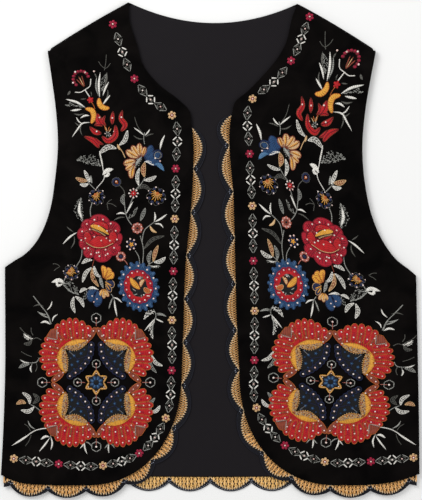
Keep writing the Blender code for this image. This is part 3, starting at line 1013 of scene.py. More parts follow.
# %% [markdown]
# ## The embroidery and its chart
#
# Both fronts carry the same flowers, mirrored, so they are charted once, in millimetres
# out and down on the right front. The left front was cut and sewn a little differently,
# so the chart is bent onto it by landmarks: a thin plate spline, which is the shape that
# a thin steel sheet takes when it is pushed through given points. Every stitch then gets
# the height of the velvet under it, so that nothing floats or sinks.
#
# Machine embroidery has a few kinds of stitch, and each is one function here: satin (rows
# of thread side by side across a shape), cord for stems and outlines, seed stitches that
# speckle a leaf, lobed patches for petals, and beads.

# %% Landmarks: out and drop on the right front, then on the left one
LANDMARKS = np.array(
    (
        (149.9, 89.9, 162.9, 67.3),
        (121.5, 148.1, 123.7, 136.3),
        (85.4, 173.8, 92.3, 163.0),
        (65.2, 173.8, 67.2, 163.0),
        (108.7, 209.5, 110.7, 204.4),
        (131.2, 226.7, 131.5, 230.3),
        (62.8, 225.9, 68.0, 211.5),
        (65.1, 256.1, 71.1, 247.5),
        (84.3, 263.1, 87.9, 256.1),
        (128.1, 274.0, 133.1, 278.9),
        (82.2, 329.2, 89.9, 326.8),
        (121.1, 324.5, 128.4, 329.1),
        (160.8, 314.4, 169.1, 323.6),
        (205.0, 341.6, 223.3, 351.8),
        (132.0, 441.7, 139.3, 441.0),
        (229.8, 514.8, 238.1, 513.9),
    )
)


def pull(gap_squared):
    """The spline's pull of a point at a distance r: r squared times the log of r."""
    return 0.5 * gap_squared * np.log(gap_squared + 1e-9)


def spline_between(start, end, slack):
    """The thin plate spline that takes start points to end points: one pull for each
    point and a plain slant, solved together. Slack lets it miss a point a little."""
    count = len(start)
    gaps = ((start[:, None] - start[None]) ** 2).sum(axis=2)
    edge = np.column_stack([np.ones(count), start])
    whole = np.zeros((count + 3, count + 3))
    whole[:count, :count] = pull(gaps) + slack * np.eye(count)
    whole[:count, count:] = edge
    whole[count:, :count] = edge.T
    return np.linalg.solve(whole, np.vstack([end, np.zeros((3, 2))]))


TO_LEFT = spline_between(LANDMARKS[:, :2], LANDMARKS[:, 2:], 40.0)


def on_the_front(side, points):
    """Chart points (out, drop, height) on a front: themselves on the right one, and bent
    by the spline on the left."""
    if side == "right":
        return points
    flat = points[..., :2].reshape(-1, 2)
    gaps = ((flat[:, None] - LANDMARKS[None, :, :2]) ** 2).sum(axis=2)
    edge = np.column_stack([pull(gaps), np.ones(len(flat)), flat])
    bent = (edge @ TO_LEFT).reshape(*points.shape[:-1], 2)
    return np.concatenate([bent, points[..., 2:]], axis=-1)


# %% The height of the velvet under the needle
MAP_WIDE, MAP_LONG = 260, 580
MAP_FINE = 26


def velvet_map(side):
    """The velvet's top on a grid of 1 mm cells: the mean height of the surface's points
    that fall in each cell."""
    out, drop, height = front_points(side, MAP_FINE).reshape(-1, 3).T
    cell = np.rint(drop).astype(int).clip(0, MAP_LONG - 1) * MAP_WIDE
    cell += np.rint(out).astype(int).clip(0, MAP_WIDE - 1)
    total = np.bincount(cell, height, MAP_LONG * MAP_WIDE)
    count = np.bincount(cell, minlength=MAP_LONG * MAP_WIDE)
    mean = np.where(count > 0, total / count.clip(1), FRONT_Z)
    return mean.reshape(MAP_LONG, MAP_WIDE) + FRONT_THICK / 2


VELVET_TOP = {side: velvet_map(side) for side in ("right", "left")}


def on_velvet(side, points):
    """Points (out, drop, height over the velvet) in metres: the height of the four map
    cells round each point, weighed by how near they are, is added."""
    out, drop, height = np.moveaxis(points, -1, 0)
    column = out.clip(0, MAP_WIDE - 2).astype(int)
    row = drop.clip(0, MAP_LONG - 2).astype(int)
    u, v = out - column, drop - row
    top = VELVET_TOP[side]
    upper = top[row, column] * (1 - u) + top[row, column + 1] * u
    lower = top[row + 1, column] * (1 - u) + top[row + 1, column + 1] * u
    height = height + upper * (1 - v) + lower * v
    return in_metres(np.stack([out * OUTWARD[side], drop, height], axis=-1))


# %% Threads in the sewing box: viscose and cotton
# Each thread runs from its lighter colour to its darker one: painted light on the backs of its
# plies, painted shade where they meet
THREAD_BOX = {
    "white": thread_material("white_cotton_thread", "#E9E6DE", "#8E8A83", 0.45),
    "silver": thread_material("silver_grey_thread", "#9A9A94", "#45453F", 0.42),
    "grey": thread_material("dark_grey_thread", "#5C5B55", "#252421", 0.5),
    "red": thread_material("poppy_red_thread", "#B8141B", "#5C0A0E", 0.5),
    "ruby": thread_material("ruby_red_thread", "#AC1229", "#560914", 0.5),
    "crimson": thread_material("crimson_thread", "#A3153A", "#560B20", 0.5),
    "copper": thread_material("copper_brown_thread", "#B8622C", "#602D15", 0.45),
    "brown": thread_material("red_brown_thread", "#8A3F2C", "#451C12", 0.5),
    "gold": thread_material("golden_yellow_thread", "#E0A13C", "#8E581B", 0.42),
    "cream": thread_material("cream_gold_thread", "#D6B182", "#866138", 0.45),
    "wine": thread_material("wine_red_thread", "#6E0F1E", "#35060E", 0.5),
    "blue": thread_material("cornflower_blue_thread", "#20426A", "#0A1930", 0.45),
    "sky": thread_material("pale_blue_thread", "#4C7498", "#1C3A58", 0.45),
    "navy": thread_material("navy_blue_thread", "#1B2346", "#0A0E20", 0.5),
    "pink": thread_material("dusty_pink_thread", "#BC7466", "#70302A", 0.45),
    "black": thread_material("black_thread", "#09090D", "#040406", 0.6),
}

# Pressed glass beads with a pearl coat: hard, pale and bright where light strikes
glass_bead, tree, shader = new_material(
    "pearl_glass_beads",
    Base_Color=paint("#E6CCC4"),
    Roughness=0.2,
    Coat_Weight=0.6,
    Coat_Roughness=0.08,
)
place = add(tree, "ShaderNodeTexCoord").outputs["Object"]
pearl_tone = tone_between(tree, noise(tree, place, 9.0), "#D9B0A6", "#EFE2DA", 0.38, 0.62)
tree.links.new(pearl_tone, shader.inputs["Base Color"])
THREAD_BOX["bead"] = glass_bead

# %% The work so far: shapes by thread, on the chart or on one front alone
work = {"chart": {}, "right": {}, "left": {}}


def sew(thread, shape, on="chart"):
    work[on].setdefault(thread, []).append(shape)


def sideways(line):
    """The direction across a line at each of its points: its own, a quarter turn on."""
    step = np.gradient(line, axis=0)
    step /= np.linalg.norm(step, axis=1)[:, None].clip(1e-9)
    return np.stack([-step[:, 1], step[:, 0]], axis=1)


# %% Satin: threads side by side across a leaf or petal
STEP = 1.3
SUNK = 0.08
BAR_STEPS = (0.0, 0.05, 0.2, 0.5, 0.8, 0.95, 1.0)


def satin(thread, points, width, full=0.8, late=1.0, rise=0.75, vein=0.0, over=0.0):
    """A patch along a smooth line. Its half width is a sine of the run (to the power late)
    to the power full; its height is a dome across, one less the square of the share
    across, with a groove down the middle for a vein. The plies are left to the bump."""
    line = smooth(points, 80)
    steps = max(10, int(along(line)[-1] / STEP))
    line = evenly(line, steps)
    t = np.linspace(0.0, 1.0, steps + 1)[:, None]
    v = np.linspace(-1.0, 1.0, 5)[None, :]
    half = width / 2 * np.sin(np.pi * t**late).clip(0.0) ** full
    place = line[:, None] + sideways(line)[:, None] * (half * v)[..., None]
    run = along(line)[:, None] + 0.45 * half * np.abs(v)
    dome = (1 - v**2) ** 0.45 * np.sqrt(2 * half / width)
    groove = 1 - vein * np.exp(-((v / 0.25) ** 2))
    height = over - SUNK + rise * dome * groove
    uv = np.stack([run + 0 * v, half * v], axis=-1)
    sew(thread, (np.dstack([place, height])[None], uv[None], False))


def bars(thread, starts, ends, width, rise=0.55, over=0.0, on="chart"):
    """Many short straight strokes at once: satin whose width is nearly even, one less the
    sixth power of the distance from the middle."""
    starts, ends = np.atleast_2d(starts).astype(float), np.atleast_2d(ends).astype(float)
    t = np.array(BAR_STEPS)[None, :, None]
    v = np.linspace(-1.0, 1.0, 5)[None, None, :]
    reach = ends - starts
    length = np.linalg.norm(reach, axis=1)[:, None, None]
    across = np.stack([-reach[:, 1], reach[:, 0]], axis=1) / length[:, :, 0]
    half = width / 2 * (1 - np.abs(2 * t - 1) ** 6)
    place = starts[:, None, None] + reach[:, None, None] * t[..., None]
    place = place + across[:, None, None] * (half * v)[..., None]
    run = length * t + 0 * v
    height = over - SUNK + rise * (1 - v**2) ** 0.5 * (half / width * 2) ** 0.5 + 0 * run
    uv = np.stack(np.broadcast_arrays(run, half * v), axis=-1)
    sew(thread, (np.concatenate([place, height[..., None]], axis=-1), uv, False), on)


# %% Cord, seeds, round patches and beads
RIM_STEP = 1.1
CORD_SUNK = 0.35
SPECKLES_PER_MM2 = 0.30


def laid_cord(thread, line, steps, radius, over):
    """A cord along a line cut into even steps, with its lower side sunk in the pile."""
    line = evenly(line, steps)
    line = np.column_stack([line, np.full(len(line), over + radius * CORD_SUNK)])
    sew(thread, threads(line[None], radius, 4, 0.9))


def cord(thread, points, radius=0.55, over=0.0):
    """A cord laid along a smooth line through a few points."""
    line = smooth(points, 80)
    laid_cord(thread, line, max(4, int(along(line)[-1] / STEP)), radius, over)


def rim_cord(thread, line, radius=0.42, over=0.25):
    """A cord along a line that may have corners, so it isn't smoothed."""
    line = np.asarray(line, float)
    laid_cord(thread, line, max(6, int(along(line)[-1] / RIM_STEP)), radius, over)


def seeds(thread, middles, angles, length=1.9, radius=0.3, over=0.0):
    """Seed stitches: short straight threads about their middles, each at its own angle."""
    reach = np.stack([np.cos(angles), np.sin(angles)], axis=-1) * length / 2
    share = np.array([-1.0, 0.0, 1.0])[None, :, None]
    place = middles[:, None] + reach[:, None] * share
    height = over + np.array([0.15, 0.35, 0.15]) + np.zeros((len(middles), 1))
    sew(thread, threads(np.dstack([place, height]), radius, 4))


def speckled(thread, points, width, seed):
    """A leaf filled with seed stitches: random shares along and across it, kept inside
    the leaf's half width, and leaning either way off its line."""
    line = evenly(smooth(points, 80), 80)
    across = sideways(line)
    length = along(line)[-1]
    chance = np.random.default_rng(seed)
    count = max(12, int(length * width * SPECKLES_PER_MM2))
    t = (np.arange(count) + chance.uniform(0.2, 0.8, count)) / count
    i = (t * 80).astype(int).clip(0, 80)
    v = chance.uniform(-1.0, 1.0, count)
    half = width / 2 * np.sin(np.pi * t) ** 0.8
    middles = line[i] + across[i] * (half * v)[:, None]
    lean = np.arctan2(-across[i, 0], across[i, 1]) + chance.choice([-0.6, 0.6], count)
    seeds(thread, middles, lean)


def patch_edge(turn, lobes, depth):
    """How far a lobed patch reaches at each angle: round lobes that meet in notches."""
    return 1 - depth * (1 - np.abs(np.cos(lobes * turn / 2)) ** 0.7)


def disc(
    thread, centre, wide, tall=None, lobes=0, depth=0.0, lean=0.0, hole=0.0, rise=0.8,
    over=0.0, on="chart",
):
    """A round or lobed patch or ring, with its threads running outward. At share s of the
    way out and angle a, a point lies at s times the edge's reach; the height is the root
    of s' (1 - s') for a ring, and of 1 less the fourth power of s for a full patch."""
    tall = wide if tall is None else tall
    steps = max(12, 6 * lobes, int(2 * np.pi * max(wide, tall) / STEP))
    turn = np.linspace(0.0, 2 * np.pi, steps, endpoint=False)[None, :]
    rings = max(5 if hole else 4, int(max(wide, tall) * (1 - hole) / 3))
    share = np.linspace(hole, 1.0, rings)[:, None]
    reach = share * patch_edge(turn, lobes, depth)
    x, y = wide * reach * np.cos(turn), tall * reach * np.sin(turn)
    lean = np.radians(lean)
    out = centre[0] + x * np.cos(lean) - y * np.sin(lean)
    drop = centre[1] + x * np.sin(lean) + y * np.cos(lean)
    if hole:
        q = (share - hole) / (1 - hole)
        dome = (4 * q * (1 - q)).clip(0.0) ** 0.4
    else:
        dome = (1 - share**4).clip(0.0) ** 0.5
    height = over - SUNK + rise * dome + 0 * turn
    uv = np.stack(np.broadcast_arrays(turn * wide, share * wide), axis=-1)
    sew(thread, (np.dstack([out, drop, height])[None], uv[None], True), on)


BEAD_SHOWS = 0.8


def bead(places, radius=1.25, over=0.3, on="chart"):
    """Beads pressed into the pile, so that only a share of each one's width shows."""
    places = np.atleast_2d(np.asarray(places, float))
    places = np.column_stack([places[:, :2], np.full(len(places), over)])
    sew("bead", beads(places, radius * BEAD_SHOWS), on)


# %% [markdown]
# ## The border chain
#
# A chain of small flowers runs down beside each edge and round the corner along the hem.
# Red and yellow flowers take turns. Between two of them stand a grey diamond, a white one
# and another grey one, each round a bead. The flowers' places were read off the photo,
# and the diamonds are spaced evenly along the smooth line through them, turned with it.

# %% The chain's flowers: colour, right out and drop, left out and drop
CHAIN = (
    ("crimson", 112.8, 26.7, 115.2, 18.0),
    ("crimson", 87.8, 89.9, 93.7, 69.0),
    ("cream", 44.3, 132.2, 49.1, 113.1),
    ("crimson", 40.0, 194.0, 45.7, 176.9),
    ("cream", 41.1, 252.3, 48.7, 237.2),
    ("crimson", 42.7, 312.9, 50.0, 300.9),
    ("cream", 44.3, 369.5, 51.5, 358.9),
    ("crimson", 44.7, 427.8, 51.2, 415.9),
    ("cream", 51.5, 483.1, 53.6, 471.1),
    ("crimson", 82.2, 523.7, 86.5, 514.7),
    ("cream", 124.2, 538.0, 132.8, 533.5),
    ("crimson", 175.5, 536.2, 186.1, 533.3),
    ("cream", 227.5, 530.0, 235.5, 528.8),
)
# Round the neck the chain bows outward between its second and third flower
CHAIN_BEND = {"right": (68.6, 114.6), "left": (73.0, 94.4)}
CHAIN_EYE = {"crimson": "wine", "cream": "brown"}
CHAIN_FLOWER = 4.9
CHAIN_PETALS = 6
OPEN_DIAMOND, INNER_DIAMOND = (4.8, 8.4), (2.9, 4.8)
BOLD_DIAMOND = 5.5


def turned(shape, places, tangents):
    """Copies of a flat shape (across, onward), one at each place, turned onto its line:
    the place plus across times the normal plus onward times the tangent."""
    normals = np.stack([tangents[:, 1], -tangents[:, 0]], axis=1)
    shape = np.asarray(shape, float)
    copies = shape[None, :, :1] * normals[:, None] + shape[None, :, 1:] * tangents[:, None]
    return (places[:, None] + copies).reshape(-1, 2)


def sew_chain(side):
    """The chain of one front: two kinds of diamond, spaced between the flowers by
    shares of the run from one to the next, and then the flowers."""
    first = 1 if side == "right" else 3
    flowers = np.array([row[first : first + 2] for row in CHAIN])
    line = smooth(np.insert(flowers, 2, CHAIN_BEND[side], axis=0), 1200)
    run = along(line)
    nearest = ((line[:, None] - flowers[None]) ** 2).sum(axis=2).argmin(axis=0)
    at = run[nearest]
    tangent = np.gradient(line, run, axis=0)

    def on_line(distance):
        place = np.stack([np.interp(distance, run, line[:, k]) for k in (0, 1)], axis=1)
        way = np.stack([np.interp(distance, run, tangent[:, k]) for k in (0, 1)], axis=1)
        return place, way / np.linalg.norm(way, axis=1)[:, None]

    gaps = np.diff(at)
    grey = np.concatenate([at[:-1] + gaps * 0.27, at[:-1] + gaps * 0.73])
    bold = at[:-1] + gaps * 0.5
    for reach, thread, thick in ((OPEN_DIAMOND, "silver", 1.0), (INNER_DIAMOND, "grey", 1.2)):
        places, ways = on_line(grey)
        wide, long = reach
        points = [(0.3, -long), (-0.3, -long), (0.3, long), (-0.3, long)]
        sides = [(wide, -0.7), (-wide, -0.7), (wide, 0.7), (-wide, 0.7)]
        bars(thread, turned(points, places, ways), turned(sides, places, ways), thick, on=side)
    bead(places, 1.3, on=side)

    places, ways = on_line(bold)
    r, s = BOLD_DIAMOND, 0.9
    points = [(s, -r), (-s, -r), (s, r), (-s, r)]
    sides = [(r, -s), (-r, -s), (r, s), (-r, s)]
    bars("white", turned(points, places, ways), turned(sides, places, ways), 1.6, on=side)
    bars("grey", places - ways * 3.0, places + ways * 3.0, 3.4, 0.3, on=side)
    bead(places, 1.3, on=side)
    sew_chain_flowers(side, flowers, tangent[nearest])


def sew_chain_flowers(side, flowers, tangents):
    """Six fat petals round a bead, and a ring of darker thread in the middle."""
    turn = np.arange(CHAIN_PETALS) * 2 * np.pi / CHAIN_PETALS
    spoke = np.stack([np.cos(turn), np.sin(turn)], axis=1)
    tangents = tangents / np.linalg.norm(tangents, axis=1)[:, None]
    for thread in CHAIN_EYE:
        rows = np.array([row[0] == thread for row in CHAIN])
        inner = turned(spoke * 1.5, flowers[rows], tangents[rows])
        outer = turned(spoke * CHAIN_FLOWER, flowers[rows], tangents[rows])
        bars(thread, inner, outer, 3.2, 0.8, on=side)
        for centre in flowers[rows]:
            disc(CHAIN_EYE[thread], centre, 2.8, rise=0.6, over=0.3, on=side)
    bead(flowers, 1.35, 0.8, on=side)


for side in ("right", "left"):
    sew_chain(side)

# %% [markdown]
# ## Stems, leaves and twigs
#
# The leaves are what ties the flowers together. Most are white or silver satin blades,
# some are open and lacy, with ribs between a vein and a rim of cord, and some are only
# speckled with seed stitches. Each is a row of a table: its thread, its stitch, its
# width, and the points of its line from base to tip, in millimetres out and down.

# %% Stems: thread, radius, points
STEMS = (
    # from the bud, and between the two fans
    ("white", 0.55, (145.2, 102.7), (150.0, 105.6), (156.8, 105.5)),
    ("white", 0.55, (145.2, 102.7), (139.8, 99.0), (138.2, 89.9)),
    ("white", 0.65, (145.2, 102.7), (142.0, 107.5), (139.7, 110.9)),
    ("copper", 0.4, (138.0, 116.5), (135.0, 121.0), (133.5, 125.0)),
    ("grey", 0.4, (122.6, 80.6), (121.0, 71.0), (120.3, 62.0)),
    ("grey", 0.4, (122.2, 78.0), (126.5, 74.5), (129.2, 70.0)),
    ("grey", 0.4, (122.0, 78.5), (118.5, 76.0), (115.6, 72.1)),
    # below the tulip
    ("cream", 0.6, (106.3, 168.4), (101.5, 175.0), (98.5, 181.6)),
    ("white", 0.5, (128.1, 176.1), (126.5, 184.0), (124.5, 192.5)),
    ("silver", 0.45, (76.0, 166.0), (77.0, 158.5), (76.0, 152.1)),
    ("grey", 0.4, (77.5, 154.0), (84.0, 145.0), (87.7, 134.2)),
    # the long curved stem on the arm side
    ("white", 0.5, (128.1, 173.8), (125.0, 187.0), (124.2, 194.0), (122.6, 204.0), (131.9, 217.3)),
    ("silver", 0.5, (133.5, 218.1), (138.5, 213.0), (144.0, 207.0)),
    ("silver", 0.55, (136.6, 233.0), (138.9, 242.0), (138.2, 249.9)),
    ("grey", 0.4, (119.5, 234.4), (114.0, 235.0), (108.6, 238.3)),
    ("grey", 0.4, (119.5, 234.4), (119.0, 238.0), (118.0, 242.2)),
    ("grey", 0.4, (119.5, 234.4), (117.0, 231.5), (114.1, 229.7)),
    # from the dark ring down to the pink one
    ("grey", 0.5, (105.5, 212.7), (100.0, 219.5), (98.5, 226.0)),
    ("silver", 0.5, (99.3, 234.4), (98.6, 241.0), (97.8, 246.8), (95.0, 253.5), (90.8, 259.3)),
    ("silver", 0.5, (87.0, 219.0), (80.5, 212.5), (75.2, 204.1)),
    ("silver", 0.45, (89.5, 227.5), (93.0, 236.0), (97.0, 245.0)),
    ("silver", 0.5, (81.0, 271.7), (77.6, 285.7), (78.3, 305.9)),
    ("silver", 0.5, (79.1, 279.5), (76.0, 265.5), (65.1, 256.1)),
    ("silver", 0.45, (86.9, 288.8), (82.8, 296.0), (81.5, 305.1)),
    ("pink", 0.45, (99.5, 300.0), (97.0, 303.0), (95.5, 305.5)),
    ("silver", 0.45, (72.9, 307.4), (69.5, 304.0), (65.1, 301.2)),
    # between rose, butterfly and medallion
    ("silver", 0.5, (148.3, 286.4), (149.2, 296.5), (156.0, 309.0)),
    ("brown", 0.45, (133.5, 295.8), (135.0, 301.5), (136.6, 307.4)),
    ("silver", 0.5, (166.1, 317.5), (168.5, 322.0), (170.8, 327.6)),
    ("grey", 0.4, (182.4, 304.3), (178.0, 304.6), (173.9, 307.4)),
    ("grey", 0.4, (181.0, 312.5), (177.5, 309.5), (174.5, 308.0)),
    ("silver", 0.5, (114.9, 339.0), (112.5, 342.5), (109.5, 352.0)),
    ("silver", 0.5, (65.9, 357.1), (63.5, 361.0), (63.0, 368.0)),
    # twigs on the side of the medallion
    ("silver", 0.55, (205.0, 341.6), (196.0, 353.0), (188.0, 363.5), (184.0, 374.0)),
    ("silver", 0.45, (184.8, 374.2), (187.0, 367.0), (190.0, 361.0)),
    ("grey", 0.45, (195.6, 392.8), (201.0, 390.0), (205.0, 391.3)),
    ("grey", 0.45, (207.3, 388.9), (214.5, 384.5), (220.5, 378.1)),
    ("grey", 0.45, (205.0, 387.4), (207.3, 383.0), (207.3, 378.1)),
    ("silver", 0.5, (198.0, 413.0), (201.0, 418.0), (207.3, 419.2)),
    ("silver", 0.45, (207.3, 419.2), (214.0, 418.0), (220.0, 415.6)),
    ("silver", 0.45, (206.5, 420.0), (207.5, 425.0), (206.8, 430.1)),
    ("grey", 0.45, (202.6, 429.3), (200.6, 424.0), (201.9, 418.4)),
    ("grey", 0.4, (206.5, 412.0), (213.0, 409.5), (218.9, 406.0)),
    ("silver", 0.5, (197.2, 474.4), (202.0, 470.5), (208.0, 467.4)),
    ("white", 0.6, (181.7, 494.6), (194.1, 495.3), (201.1, 496.9), (216.0, 506.0)),
    ("grey", 0.4, (207.3, 502.3), (210.0, 509.5), (214.3, 515.5)),
    ("grey", 0.4, (208.1, 498.1), (211.0, 493.0), (215.1, 489.9)),
    # stalks under the medallion
    ("silver", 0.5, (184.0, 496.1), (184.0, 501.0), (185.5, 505.4)),
)

